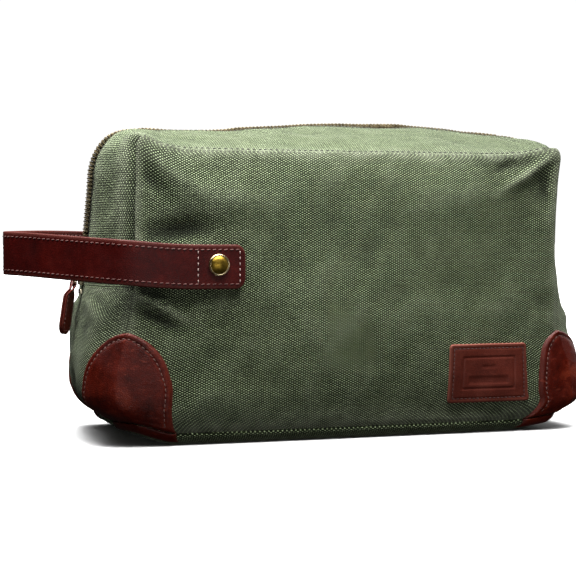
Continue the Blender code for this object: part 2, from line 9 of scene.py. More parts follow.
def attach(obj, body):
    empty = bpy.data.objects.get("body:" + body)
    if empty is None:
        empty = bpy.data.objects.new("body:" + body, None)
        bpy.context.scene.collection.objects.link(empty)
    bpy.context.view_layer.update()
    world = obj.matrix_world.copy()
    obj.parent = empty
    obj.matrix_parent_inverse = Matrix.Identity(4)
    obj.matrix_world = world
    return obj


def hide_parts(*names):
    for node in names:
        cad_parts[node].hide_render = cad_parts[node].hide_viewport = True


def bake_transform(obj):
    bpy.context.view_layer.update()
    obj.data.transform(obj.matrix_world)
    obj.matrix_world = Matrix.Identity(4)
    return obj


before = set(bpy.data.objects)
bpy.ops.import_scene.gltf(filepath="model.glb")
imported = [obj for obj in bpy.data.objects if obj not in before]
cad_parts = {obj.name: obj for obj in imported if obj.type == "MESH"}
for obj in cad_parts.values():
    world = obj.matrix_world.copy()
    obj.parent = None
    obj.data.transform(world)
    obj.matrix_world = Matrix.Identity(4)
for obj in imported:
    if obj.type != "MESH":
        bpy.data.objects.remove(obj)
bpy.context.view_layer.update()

# All shape work below is in millimetres, in the CAD's frame, and is written to meshes in metres.
MM = 0.001
PI = math.pi


# ===================================================================== curves
def curve(tab):
    """Monotone cubic through (place, value) pairs, for arrays."""
    x = np.array([p[0] for p in tab], float)
    y = np.array([p[1] for p in tab], float)
    h = np.diff(x)
    s = np.diff(y) / h
    m = np.empty_like(y)
    m[0], m[-1] = s[0], s[-1]
    a, b = s[:-1], s[1:]
    with np.errstate(divide="ignore", invalid="ignore"):
        m[1:-1] = np.where(a * b <= 0, 0.0, 2 * a * b / (a + b))

    def f(q):
        q = np.clip(np.asarray(q, float), x[0], x[-1])
        k = np.clip(np.searchsorted(x, q, side="right") - 1, 0, len(h) - 1)
        t = (q - x[k]) / h[k]
        return ((2 * t ** 3 - 3 * t ** 2 + 1) * y[k] + (t ** 3 - 2 * t ** 2 + t) * h[k] * m[k]
                + (-2 * t ** 3 + 3 * t ** 2) * y[k + 1] + (t ** 3 - t ** 2) * h[k] * m[k + 1])
    return f


Z_TOP = 166.0
Z_BASE = 7.0
Z_ZIP = 88.0
Z_TURN = 148.0
SPLIT = {-1: 112.0, 1: 118.0}
TOP_Y = 61.5
ROUND = 7.5                       # radius of the front panel's upper corners

CX0 = curve([(0, 114.0), (7, 126.0), (10, 130.0), (15, 134.5), (22, 138.0), (30, 139.5), (40, 139.0),
             (50, 137.0), (60, 134.8), (80, 131.5), (95, 130.2), (110, 130.0), (170, 130.0)])
CYT = curve([(0, 44.0), (7, 55.5), (10, 57.0), (15, 58.5), (22, 59.5), (40, 60.3), (60, 61.0),
             (95, 61.5), (170, 61.5)])
BFT = curve([(0, 48.0), (7, 59.5), (12, 61.0), (20, 62.6), (30, 64.0), (45, 65.2), (60, 65.7), (80, 65.7),
             (100, 65.5), (130, 64.5), (150, 62.9), (166, 61.5), (170, 61.5)])
AE = {-1: curve([(0, 121.0), (7, 134.0), (10, 138.5), (14, 143.0), (18, 146.5), (23, 149.5), (30, 152.0),
                 (45, 152.8), (60, 151.6), (75, 149.0), (88, 146.8), (148, 141.2)]),
      1: curve([(0, 121.0), (7, 134.0), (10, 139.0), (14, 143.5), (18, 147.0), (23, 150.0), (30, 152.5),
                (45, 153.4), (60, 152.4), (75, 150.6), (88, 149.4), (148, 146.2)])}
QET = curve([(0, 4.5), (45, 4.5), (70, 2.9), (88, 1.9), (148, 1.7)])
PFT = curve([(0, 6.0), (40, 5.0), (100, 3.2), (166, 2.5)])
SKT = curve([(0, 1.0), (10, 3.0), (25, 7.0), (45, 7.0), (70, 2.5), (88, 0.0), (170, 0.0)])
RIDGE = curve([(-130, 176.5), (-115, 180.4), (-96, 180.8), (-72, 181.2), (-48, 182.5), (-28, 183.8), (7, 185.6),
               (55, 186.6), (82, 185.6), (100, 183.4), (122, 180.8), (140, 176.0)])


def cxt(z):
    """Half length at the corner seam, with the upper corners rounded off."""
    z = np.asarray(z, float)
    k = np.clip(z - (Z_TOP - ROUND), 0, ROUND)
    return CX0(z) - (ROUND - np.sqrt(np.maximum(ROUND ** 2 - k ** 2, 0)))


def front_depth(x, z, d=0.0):
    cx, cy = cxt(z) - d, CYT(z) - d
    bf = BFT(z) - d
    return cy + (bf - cy) * np.clip(1 - np.abs(x / np.maximum(cx, 1)) ** PFT(z), 0, None)


def end_out(side, y, z, d=0.0):
    """Distance of an end wall from the bag's middle plane, at depth y."""
    cx, cy = CX0(z) - d, CYT(z) - d
    t = np.clip(y / cy, -1, 1)
    out = cx + (AE[side](z) - d - cx) * (1 - np.abs(t) ** QET(z))
    return out - SKT(z) * t * (1 - t ** 4)


def zip_x(side, z):
    a, b = (146.8, 141.2) if side < 0 else (149.4, 146.2)
    return a + (b - a) * (z - Z_ZIP) / (Z_TURN - Z_ZIP)


# ================================================================ soft shape
def waves(seed, scale, n=14):
    """Smooth, repeatable unevenness of a plane, about -1 to 1."""
    r = np.random.RandomState(seed)
    a = r.uniform(0, 2 * PI, n)
    k = 2 * PI / (scale * r.uniform(0.6, 1.9, n))
    ph = r.uniform(0, 2 * PI, n)

    def f(x, y):
        s = 0.0
        for ai, ki, pi_ in zip(a, k, ph):
            s = s + np.cos(ki * (x * math.cos(ai) + y * math.sin(ai)) + pi_)
        return s / math.sqrt(n / 2) / 1.6
    return f


def lump(x, y, amp, x0, y0, sx, sy, deg=0.0):
    c, s = math.cos(math.radians(deg)), math.sin(math.radians(deg))
    u = (x - x0) * c + (y - y0) * s
    v = -(x - x0) * s + (y - y0) * c
    return amp * np.exp(-(u / sx) ** 2 - (v / sy) ** 2)


FRONT_FORM = [
    # amplitude, x, z, length, width, angle
    (-3.4, -106, 120, 19, 7.5, 8), (-1.2, -118, 134, 12, 14, 0), (1.9, -84, 141, 36, 12, -8), (1.2, -35, 62, 48, 24, 0),
    (-1.0, -5, 120, 34, 13, -14), (0.9, 62, 141, 30, 10, 6), (-1.5, 100, 118, 24, 26, 0),
    (2.7, -121.5, 80.5, 17, 3.0, -27), (-3.0, -125, 87.5, 12, 3.4, -20), (-1.8, -116, 72.5, 15, 4.0, -27),
    (2.3, 112, 155, 19, 3.4, 30), (-2.8, 121, 146, 7, 10, 10), (-0.9, 98, 160, 12, 3.0, 30),
    (1.3, 126.5, 69, 9, 2.6, -58), (-1.0, 122, 76, 10, 4.0, -50), (1.1, -112, 154, 17, 4.2, -32),
    (-1.3, -120, 147, 13, 4.0, -40), (0.7, 20, 34, 40, 12, 4), (-0.6, 70, 84, 30, 12, -10),
    (0.8, 92, 74, 24, 11, 14), (-0.8, -88, 48, 20, 12, 30), (0.9, -66, 26, 26, 9, -6),
    (1.2, -126, 108, 4.5, 14, 4),
]
BACK_FORM = [
    (-2.0, -108, 120, 20, 10, 10), (1.3, -60, 138, 40, 12, 5), (1.2, 30, 60, 46, 22, 0), (-1.2, 20, 118, 34, 14, 16),
    (1.5, -120, 82, 15, 3.2, -24), (-1.4, -124, 90, 11, 3.2, -20), (1.5, 110, 153, 18, 3.6, 34),
    (-1.6, 120, 146, 8, 9, 10), (1.0, -112, 155, 15, 4.0, -30), (1.0, 124, 72, 9, 3.0, -52), (-0.9, 70, 90, 26, 14, 0),
]
W_BIG, W_MID, W_FINE = waves(11, 95), waves(23, 42), waves(5, 17)
B_BIG, B_MID, B_FINE = waves(31, 95), waves(43, 42), waves(17, 17)
G_MID, G_FINE = waves(71, 40), waves(83, 15)


def wall_relief(hand, x, z):
    """How far the canvas stands out of (+) or sinks into (-) its plain form; zero at all its seams."""
    form = FRONT_FORM if hand < 0 else BACK_FORM
    r = 0.0
    for a, x0, z0, sx, sz, g in form:
        r = r + lump(x, z, a, x0, z0, sx, sz, g)
    big, mid, fine = (W_BIG, W_MID, W_FINE) if hand < 0 else (B_BIG, B_MID, B_FINE)
    r = r + 0.55 * big(x, z) + 0.34 * mid(x, z) + 0.10 * fine(x, z)
    ex = np.clip((cxt(z) - np.abs(x)) / 9.0, 0, 1)
    ez = np.clip((Z_TOP - z) / 8.0, 0, 1) * np.clip((z - Z_BASE) / 9.0, 0, 1)
    fade = (ex * ex * (3 - 2 * ex)) * (ez * ez * (3 - 2 * ez))
    # the handle's leg lies flat on the canvas
    leg = np.exp(-((z - (101 if hand < 0 else 106)) / 15.0) ** 6) * np.clip((-60 - x) / 8.0, 0, 1)
    r = np.where(r > 0, r * (1 - 0.85 * leg), r)
    return r * fade


def shoulder(x, dist):
    """The front and top roll into each other over a soft shoulder along the top seam."""
    return 1.9 * np.exp(-(np.clip(dist, 0, None) / 10.0) ** 1.6) * (1 - np.clip(np.abs(x) / 124.0, 0, 1) ** 8)


def pillow(dist, depth=0.9, width=1.7):
    """Inset of the canvas as it rolls into a seam, from the distance to the seam."""
    return depth * np.exp(-(np.clip(dist, 0, None) / width) ** 1.3)


def wall_point(hand, x, z, d=0.0):
    """A point of the front (hand -1) or back wall, x as a share of the half length."""
    cx = cxt(z)
    dist = np.minimum(np.minimum((1 - np.abs(x)) * cx, Z_TOP - z), z - Z_BASE)
    dd = d + pillow(dist)
    X = x * (cx - dd)
    r = wall_relief(hand, x * cx, z)
    Y = front_depth(X, z, dd) + r - shoulder(x * cx, Z_TOP - z)
    return np.stack([X, hand * Y, z + 0 * X], -1)


def end_point(side, y, z, d=0.0):
    """A point of an end wall, y as a share of the half depth."""
    cy = CYT(z)
    dist = np.minimum((1 - np.abs(y)) * cy, z - Z_BASE)
    dd = d + pillow(dist)
    Y = y * (cy - dd)
    X = end_out(side, Y, z, dd)
    e = np.clip((1 - np.abs(y)) / 0.25, 0, 1) * np.clip((z - Z_BASE) / 12.0, 0, 1) * np.clip((Z_ZIP - z) / 8.0, 0, 1)
    r = 0.9 * G_MID(Y * 1.3 + 50 * side, z) + 0.25 * G_FINE(Y, z + 31 * side)
    r = r + lump(Y, z, 1.5, -34, 74, 18, 4.5, 24) + lump(Y, z, -1.5, -30, 82, 18, 4.0, 20) \
        + lump(Y, z, 1.3, 34, 72, 18, 4.5, -24) + lump(Y, z, -1.2, 30, 80, 18, 4.0, -20)
    X = X + r * e
    return np.stack([side * X, Y, z + 0 * X], -1)


def gusset_point(side, hand, t, v, d=0.0, relief=True):
    """A point of the zip gusset.  t runs 0-1 up the end, 1-2 round the upper corner, 2-3 along the top
    to the bag's middle.  v is 0 on the zip's centre line and 1 on the seam with the front or back wall."""
    t, v, d = np.broadcast_arrays(np.asarray(t, float), np.asarray(v, float), np.asarray(d, float))
    xs = SPLIT[side]
    ridge0 = float(RIDGE(side * xs))
    # end
    z1 = Z_ZIP + (Z_TURN - Z_ZIP) * np.clip(t, 0, 1)
    g1 = np.stack([zip_x(side, z1) - d, 0 * d, z1], -1)
    f1 = np.stack([CX0(z1) - d, CYT(z1) - d, z1], -1)
    # corner
    a = (np.clip(t, 1, 2) - 1) * PI / 2
    gx, gz = zip_x(side, Z_TURN) - d, ridge0 - d
    g2 = np.stack([xs + (gx - xs) * np.cos(a) ** 0.9, 0 * d, Z_TURN + (gz - Z_TURN) * np.sin(a) ** 0.9], -1)
    q = np.clip(t, 1, 2) - 1
    zr = Z_TOP - ROUND
    up = np.clip(q / 0.33, 0, 1)
    turn = np.clip((q - 0.33) / 0.34, 0, 1) * PI / 2
    along = np.clip((q - 0.67) / 0.33, 0, 1)
    cxe = 130.0
    fx = np.where(q < 0.33, cxe, np.where(q < 0.67, cxe - ROUND + ROUND * np.cos(turn),
                                          (cxe - ROUND) + (xs - (cxe - ROUND)) * along))
    fz = np.where(q < 0.33, Z_TURN + (zr - Z_TURN) * up, np.where(q < 0.67, zr + ROUND * np.sin(turn), Z_TOP))
    f2 = np.stack([fx - d * np.clip(np.cos(a), 0, 1), CYT(fz) - d - shoulder(fx, np.hypot(fz - Z_TOP, (1 - v) * TOP_Y)), fz + 0 * d], -1)
    # top
    X3 = xs * (3 - np.clip(t, 2, 3))
    g3 = np.stack([X3, 0 * d, RIDGE(side * X3) - d], -1)
    f3 = np.stack([X3, TOP_Y - d - shoulder(X3, (1 - v) * TOP_Y), Z_TOP + 0 * d], -1)
    m1, m3 = (t <= 1)[..., None], (t > 2)[..., None]
    g = np.where(m1, g1, np.where(m3, g3, g2))
    f = np.where(m1, f1, np.where(m3, f3, f2))
    n = np.where(m1, np.array([1.0, 0, 0]), np.where(m3, np.array([0, 0, 1.0]),
                 np.stack([np.cos(a), 0 * a, np.sin(a)], -1)))
    v3 = v[..., None]
    p = g * (1 - v3) + f * v3
    b = 2.6 * np.sin(PI * v)
    if relief:
        s = along_mm(side, t)
        e = np.sin(PI * np.clip(v, 0, 1)) ** 0.7
        on_end = 1 / (1 + np.exp((t - 1.75) / 0.12))
        on_top = 1 - on_end
        low = np.clip((t + 0.02) / 0.25, 0, 1)
        deep = (1.0 if side < 0 and hand < 0 else 0.5) * 6.0 + (1.0 if side < 0 and hand < 0 else 0.3) * 2.6 * np.exp(-((t - 1.05) / 0.45) ** 2)
        b = b + on_end * low * (3.0 * np.exp(-((v - 0.38) / 0.15) ** 2) - deep * np.exp(-((v - 0.905) / 0.085) ** 2))
        b = b - 3.0 * np.exp(-((t - 1.42) / 0.17) ** 2 - ((v - 0.84) / 0.12) ** 2)
        if side < 0 and hand > 0:
            b = b - 5.4 * np.sin(PI * v) * np.clip((1.75 - t) / 0.35, 0, 1)
        b = b + 1.3 * np.exp(-((t - 1.75) / 0.20) ** 2 - ((v - 0.60) / 0.18) ** 2)
        sx = side * X3
        b = b + on_top * e * (0.9 * G_MID(sx * 1.2, v * 60 * hand) + 0.25 * G_FINE(sx, v * 60 + 9 * hand))
        b = b + on_end * e * low * (0.7 * G_MID(s * 1.1 + 40 * side, v * 60 * hand) + 0.25 * G_FINE(s, v * 60 * hand))
        # the canvas edge waves along the zip on the top
        edge = np.exp(-(v / 0.16) ** 2)
        wav = np.exp(-((sx - 42) / 15.0) ** 2) * 1.5 + np.exp(-((sx + 58) / 10.0) ** 2) * 0.8 \
            - 0.4 * np.exp(-((sx - 5) / 20.0) ** 2)
        b = b - on_top * edge * wav * (1.0 if hand < 0 else 0.4)
    # at the zip's lower end the gusset takes the end wall's own curve
    share = (1 - ease(t / 0.45)) * (t < 0.45)
    cy88 = float(CYT(Z_ZIP))
    excess = end_out(side, v * cy88, Z_ZIP) - (zip_x(side, Z_ZIP) * (1 - v) + float(CX0(Z_ZIP)) * v)
    b = b * (1 - share) + excess * share
    p = p + n * b[..., None]
    return p * np.array([side, hand, 1.0])


_LEN = {}


def along_mm(side, t):
    """Distance along the zip's centre line from its lower end."""
    if side not in _LEN:
        tt = np.linspace(0, 3, 601)
        _LEN[side] = (tt, None)
        p = gusset_point(side, 1, tt, 0.0, 0.0, relief=False)
        s = np.concatenate([[0], np.cumsum(np.linalg.norm(np.diff(p, axis=0), axis=1))])
        _LEN[side] = (tt, s)
    tt, s = _LEN[side]
    return np.interp(t, tt, s) if s is not None else np.asarray(t) * 60


def t_of_mm(side, s):
    along_mm(side, 0.0)
    tt, ss = _LEN[side]
    return np.interp(s, ss, tt)


def vy(y):
    return y / TOP_Y


def ease(v):
    v = np.clip(v, 0, 1)
    return v * v * (3 - 2 * v)


RIGHT_SHIFT = curve([(0, 4.0), (7, 5.0), (15, 7.0), (25, 2.6), (35, 0.6), (45, -1.2), (55, -2.4), (62, -2.2), (70, -0.8),
                     (78, 0.6), (86, 1.3), (110, 1.3), (130, 1.8), (150, 3.0), (166, 3.4), (190, 3.4)])
EARS = [(-131.0, -63.0, 9.6, 17.0, 26.0), (132.0, -62.0, 7.0, 19.0, 22.0),
        (-131.0, 63.0, 2.0, 17.0, 24.0), (131.0, 62.0, 4.5, 18.0, 24.0)]


def warp(p):
    """The bag's own lean and its pinched-up top corners, the same for every soft piece."""
    p = np.array(p, float)
    x, y, z = p[..., 0], p[..., 1], p[..., 2]
    dz = 0.0
    for x0, y0, amp, wx, wy in EARS:
        dz = dz + amp * np.exp(-((x - x0) / wx) ** 2 - ((y - y0) / wy) ** 2) * ease((z - 142) / 26)
    dz = dz + 6.5 * ease((-104 - x) / 28) * ease((30 - z) / 26) * (0.75 + 0.25 * np.clip(-y / 60, -1, 1)) \
        + 2.5 * ease((x - 104) / 28) * ease((26 - z) / 22)
    dx = ease((x - 96) / 32) * RIGHT_SHIFT(z)
    # upper left front corner folds in on itself beside the seam
    pin = np.exp(-((y + 53.5) / 5.2) ** 2) * ease((z - 128) / 30) * ease((-122 - x) / 6)
    dx = dx + 5.0 * pin
    dx = dx + 2.2 * np.exp(-((y + 60) / 12.0) ** 2) * ease((z - 146) / 20) * ease((x - 112) / 16)
    p[..., 0] = x + dx
    p[..., 2] = z + dz
    return p


# ============================================================== mesh helpers
def make(name, verts_mm, faces, mats, uv=None, attrs=None, face_mat=None, smooth=True, sharp=40, recalc=True, soft=True):
    me = bpy.data.meshes.new(name)
    verts = (warp(verts_mm) if soft else np.asarray(verts_mm, float)) * MM
    me.from_pydata(verts.tolist(), [], faces)
    if uv is not None:
        lay = me.uv_layers.new(name="metric")
        idx = np.empty(len(me.loops), int)
        me.loops.foreach_get("vertex_index", idx)
        lay.data.foreach_set("uv", np.asarray(uv, np.float32)[idx].ravel())
    for key, val in (attrs or {}).items():
        at = me.attributes.new(key, "FLOAT", "POINT")
        at.data.foreach_set("value", np.asarray(val, np.float32).ravel())
    if face_mat is not None:
        me.polygons.foreach_set("material_index", np.asarray(face_mat, np.int32))
    for m in mats:
        me.materials.append(m)
    if recalc:
        bm = bmesh.new()
        bm.from_mesh(me)
        bmesh.ops.recalc_face_normals(bm, faces=bm.faces)
        if bm.calc_volume(signed=True) < 0:
            bmesh.ops.reverse_faces(bm, faces=bm.faces)
        bm.to_mesh(me)
        bm.free()
    if smooth:
        me.shade_smooth()
        if sharp:
            me.set_sharp_from_angle(angle=math.radians(sharp))
    me.update()
    ob = bpy.data.objects.new(name, me)
    bpy.context.scene.collection.objects.link(ob)
    return ob


def grid_faces(nu, nv, off=0, flip=False, closed_u=False):
    i, j = np.meshgrid(np.arange(nu if closed_u else nu - 1), np.arange(nv - 1), indexing="ij")
    i2 = (i + 1) % nu
    f = np.stack([off + i * nv + j, off + i2 * nv + j, off + i2 * nv + j + 1, off + i * nv + j + 1], -1).reshape(-1, 4)
    return f[:, ::-1] if flip else f


def shell(name, outer, inner, uv, mats, attrs=None, sharp=50, soft=True):
    """Closed thin solid between two grids of points."""
    nu, nv = outer.shape[:2]
    verts = np.concatenate([outer.reshape(-1, 3), inner.reshape(-1, 3)])
    n = nu * nv
    f = [grid_faces(nu, nv), grid_faces(nu, nv, n, flip=True)]
    i = np.arange(nu - 1)
    f.append(np.stack([i * nv, n + i * nv, n + (i + 1) * nv, (i + 1) * nv], -1))
    f.append(np.stack([i * nv + nv - 1, (i + 1) * nv + nv - 1, n + (i + 1) * nv + nv - 1, n + i * nv + nv - 1], -1))
    j = np.arange(nv - 1)
    f.append(np.stack([j, j + 1, n + j + 1, n + j], -1))
    k = (nu - 1) * nv
    f.append(np.stack([k + j, n + k + j, n + k + j + 1, k + j + 1], -1))
    faces = np.concatenate(f).tolist()
    uv2 = np.concatenate([uv.reshape(-1, 2), uv.reshape(-1, 2)]) if uv is not None else None
    at = {k_: np.concatenate([a.ravel(), a.ravel()]) for k_, a in (attrs or {}).items()}
    return make(name, verts, faces, mats, uv2, at, sharp=sharp, soft=soft)


def grid_normals(p):
    du = np.gradient(p, axis=0)
    dv = np.gradient(p, axis=1)
    n = np.cross(du, dv)
    return n / np.maximum(np.linalg.norm(n, axis=-1, keepdims=True), 1e-9)


def hollows(p, reach=4):
    """How deep each point of a grid lies in a fold (0-1), and how far it stands up on a ridge (0-1)."""
    def blur(a, axis, k):
        ker = np.hanning(2 * k + 3)[1:-1]
        ker /= ker.sum()
        pad = [(0, 0)] * a.ndim
        pad[axis] = (k, k)
        b = np.pad(a, pad, mode="reflect", reflect_type="odd")
        return np.apply_along_axis(lambda q: np.convolve(q, ker, mode="valid"), axis, b)
    sm = blur(blur(p, 0, reach), 1, reach)
    n = grid_normals(p)
    c = np.array([0, 0, 85.0])
    n = n * np.sign((n * (p - c)).sum(-1, keepdims=True))
    off = ((sm - p) * n).sum(-1)
    return np.clip(off / 0.9, 0, 1), np.clip(-off / 0.8, 0, 1)


def metric_uv(p):
    """Flat coordinates in mm along a grid, measured on its middle rows."""
    nu, nv = p.shape[:2]
    a = np.concatenate([[0], np.cumsum(np.linalg.norm(np.diff(p[:, nv // 2], axis=0), axis=1))])
    b = np.concatenate([[0], np.cumsum(np.linalg.norm(np.diff(p[nu // 2], axis=0), axis=1))])
    return np.stack(np.meshgrid(a, b, indexing="ij"), -1)


def stitches(name, pts, nrm, pitch, length, radius, mat, lift=0.12, slant=0.0, start=0.5):
    """Row of sewn stitches along a line of points with surface normals, as one mesh."""
    pts, nrm = np.asarray(pts, float), np.asarray(nrm, float)
    seg = np.linalg.norm(np.diff(pts, axis=0), axis=1)
    s = np.concatenate([[0], np.cumsum(seg)])
    total = s[-1]
    count = max(1, int((total - length) / pitch))
    pitch = (total - length) / count
    prof_s = np.array([-0.5, -0.38, -0.14, 0.14, 0.38, 0.5])
    prof_r = np.array([0.35, 0.85, 1.0, 1.0, 0.85, 0.35])
    prof_l = np.array([-1.1, -0.25, 0.25, 0.25, -0.25, -1.1])
    k = 6
    ang = np.arange(k) * 2 * PI / k
    V, F = [], []
    for i in range(count + 1):
        c = length / 2 + i * pitch
        ss = c + prof_s * length

        def at(arr):
            return np.stack([np.interp(ss, s, arr[:, q]) for q in range(3)], -1)
        P, N = at(pts), at(nrm)
        N /= np.linalg.norm(N, axis=1, keepdims=True)
        T = P[-1] - P[0]
        T /= max(np.linalg.norm(T), 1e-9)
        B = np.cross(N, T)
        B /= np.maximum(np.linalg.norm(B, axis=1, keepdims=True), 1e-9)
        C = P + N * (lift + prof_l[:, None] * radius) + B * (slant * prof_s[:, None] * length)
        base = len(V) * 6 * k
        rings = C[:, None, :] + radius * prof_r[:, None, None] * (
            np.cos(ang)[None, :, None] * B[:, None, :] + np.sin(ang)[None, :, None] * N[:, None, :])
        V.append(rings.reshape(-1, 3))
        for a in range(5):
            for b in range(k):
                b2 = (b + 1) % k
                F.append((base + a * k + b, base + a * k + b2, base + (a + 1) * k + b2, base + (a + 1) * k + b))
        F.append(tuple(base + b for b in reversed(range(k))))
        F.append(tuple(base + 5 * k + b for b in range(k)))
    return make(name, np.concatenate(V), F, [mat], sharp=None)


def lathe(name, profile, centre, hand, mats, steps=64, face_mat=None):
    prof = np.array(profile, float)
    a = np.arange(steps) * 2 * PI / steps
    V = np.stack([centre[0] + prof[:, :1] * np.cos(a), centre[1] + hand * prof[:, 1:2] + 0 * a,
                  centre[2] + prof[:, :1] * np.sin(a)], -1)
    n = len(prof)
    V = V.transpose(1, 0, 2)                       # steps, profile
    faces = grid_faces(steps, n, closed_u=True).tolist()
    faces.append([i * n for i in range(steps)])
    faces.append([i * n + n - 1 for i in range(steps)])
    return make(name, V.reshape(-1, 3), faces, mats, sharp=35, soft=False)


# ================================================================= materials
class Nodes:
    def __init__(self, name):
        self.mat = bpy.data.materials.new(name)
        self.mat.use_nodes = True
        self.t = self.mat.node_tree
        self.bsdf = self.t.nodes["Principled BSDF"]

    def node(self, kind, **props):
        n = self.t.nodes.new(kind)
        for k, v in props.items():
            setattr(n, k, v)
        return n

    def put(self, sock, val):
        if hasattr(val, "links"):
            self.t.links.new(val, sock)
        else:
            sock.default_value = val

    def math(self, op, a, b=None, c=None, clamp=False):
        n = self.node("ShaderNodeMath", operation=op, use_clamp=clamp)
        self.put(n.inputs[0], a)
        if b is not None:
            self.put(n.inputs[1], b)
        if c is not None:
            self.put(n.inputs[2], c)
        return n.outputs[0]

    def mix(self, fac, a, b, blend="MIX"):
        n = self.node("ShaderNodeMix", data_type="RGBA", blend_type=blend)
        n.clamp_factor = True
        self.put(n.inputs[0], fac)
        self.put(n.inputs[6], a if hasattr(a, "links") else (*a, 1))
        self.put(n.inputs[7], b if hasattr(b, "links") else (*b, 1))
        return n.outputs[2]

    def noise(self, vec, scale, detail=3.0, rough=0.55, dist=0.0):
        n = self.node("ShaderNodeTexNoise")
        self.put(n.inputs["Vector"], vec)
        n.inputs["Scale"].default_value = scale
        n.inputs["Detail"].default_value = detail
        n.inputs["Roughness"].default_value = rough
        n.inputs["Distortion"].default_value = dist
        return n.outputs["Fac"]

    def voronoi(self, vec, scale, feature="F1", rand=1.0):
        n = self.node("ShaderNodeTexVoronoi", feature=feature)
        self.put(n.inputs["Vector"], vec)
        n.inputs["Scale"].default_value = scale
        n.inputs["Randomness"].default_value = rand
        return n.outputs["Distance"]

    def ramp(self, fac, stops):
        n = self.node("ShaderNodeValToRGB")
        e = n.color_ramp.elements
        while len(e) < len(stops):
            e.new(0.5)
        for el, (p, c) in zip(e, stops):
            el.position = p
            el.color = (*c, 1) if len(c) == 3 else c
        self.put(n.inputs[0], fac)
        return n.outputs[0]

    def range(self, val, a, b, c, d, clamp=True):
        n = self.node("ShaderNodeMapRange", clamp=clamp)
        self.put(n.inputs[0], val)
        for i, x in enumerate((a, b, c, d)):
            n.inputs[i + 1].default_value = x
        return n.outputs[0]

    def place(self):
        return self.node("ShaderNodeTexCoord").outputs["Object"]

    def attr(self, name):
        return self.node("ShaderNodeAttribute", attribute_name=name, attribute_type="GEOMETRY").outputs["Fac"]

    def vec(self, x, y, z=0.0):
        n = self.node("ShaderNodeCombineXYZ")
        self.put(n.inputs[0], x)
        self.put(n.inputs[1], y)
        self.put(n.inputs[2], z)
        return n.outputs[0]

    def bump(self, height, strength, dist, normal=None):
        n = self.node("ShaderNodeBump")
        n.inputs["Strength"].default_value = strength
        n.inputs["Distance"].default_value = dist
        self.put(n.inputs["Height"], height)
        if normal is not None:
            self.put(n.inputs["Normal"], normal)
        return n.outputs[0]

    def set(self, **kw):
        for k, v in kw.items():
            self.put(self.bsdf.inputs[k.replace("_", " ")], v)


def weave_fields(m, pitch_u, pitch_v, wobble=0.10):
    """Plain weave on the metric map: yarn height, the yarns' own tones and the flat coordinates."""
    uv = m.node("ShaderNodeUVMap", uv_map="metric").outputs[0]
    sep = m.node("ShaderNodeSeparateXYZ")
    m.put(sep.inputs[0], uv)
    U, V = sep.outputs[0], sep.outputs[1]
    wob = m.math("SUBTRACT", m.noise(uv, 0.35, 2.0), 0.5)
    wob2 = m.math("SUBTRACT", m.noise(m.vec(V, U), 0.31, 2.0), 0.5)
    u = m.math("ADD", m.math("DIVIDE", U, pitch_u), m.math("MULTIPLY", wob, wobble * 4))
    v = m.math("ADD", m.math("DIVIDE", V, pitch_v), m.math("MULTIPLY", wob2, wobble * 4))
    su = m.math("SINE", m.math("MULTIPLY", u, PI))
    sv = m.math("SINE", m.math("MULTIPLY", v, PI))
    au, av = m.math("ABSOLUTE", su), m.math("ABSOLUTE", sv)
    par = m.math("GREATER_THAN", m.math("MULTIPLY", su, sv), 0.0)
    h1 = m.math("MULTIPLY", m.math("POWER", au, 1.5), m.math("POWER", av, 0.65))
    h2 = m.math("MULTIPLY", m.math("POWER", au, 0.65), m.math("POWER", av, 1.5))
    hmix = m.node("ShaderNodeMix", data_type="FLOAT")
    m.put(hmix.inputs[0], par)
    m.put(hmix.inputs[2], h1)
    m.put(hmix.inputs[3], h2)
    h = hmix.outputs[0]
    fu, fv = m.math("FLOOR", u), m.math("FLOOR", v)
    # each yarn keeps its own tone and thickens here and there
    ya = m.noise(m.vec(m.math("MULTIPLY", fu, 7.31), m.math("MULTIPLY", v, 0.05)), 1.0, 2.0)
    yb = m.noise(m.vec(m.math("MULTIPLY", u, 0.05), m.math("MULTIPLY", fv, 5.77), 3.0), 1.0, 2.0)
    ymix = m.node("ShaderNodeMix", data_type="FLOAT")
    m.put(ymix.inputs[0], par)
    m.put(ymix.inputs[2], ya)
    m.put(ymix.inputs[3], yb)
    cell = m.node("ShaderNodeTexWhiteNoise", noise_dimensions="2D")
    m.put(cell.inputs[0], m.vec(fu, fv))
    return h, ymix.outputs[0], cell.outputs[0], uv, par


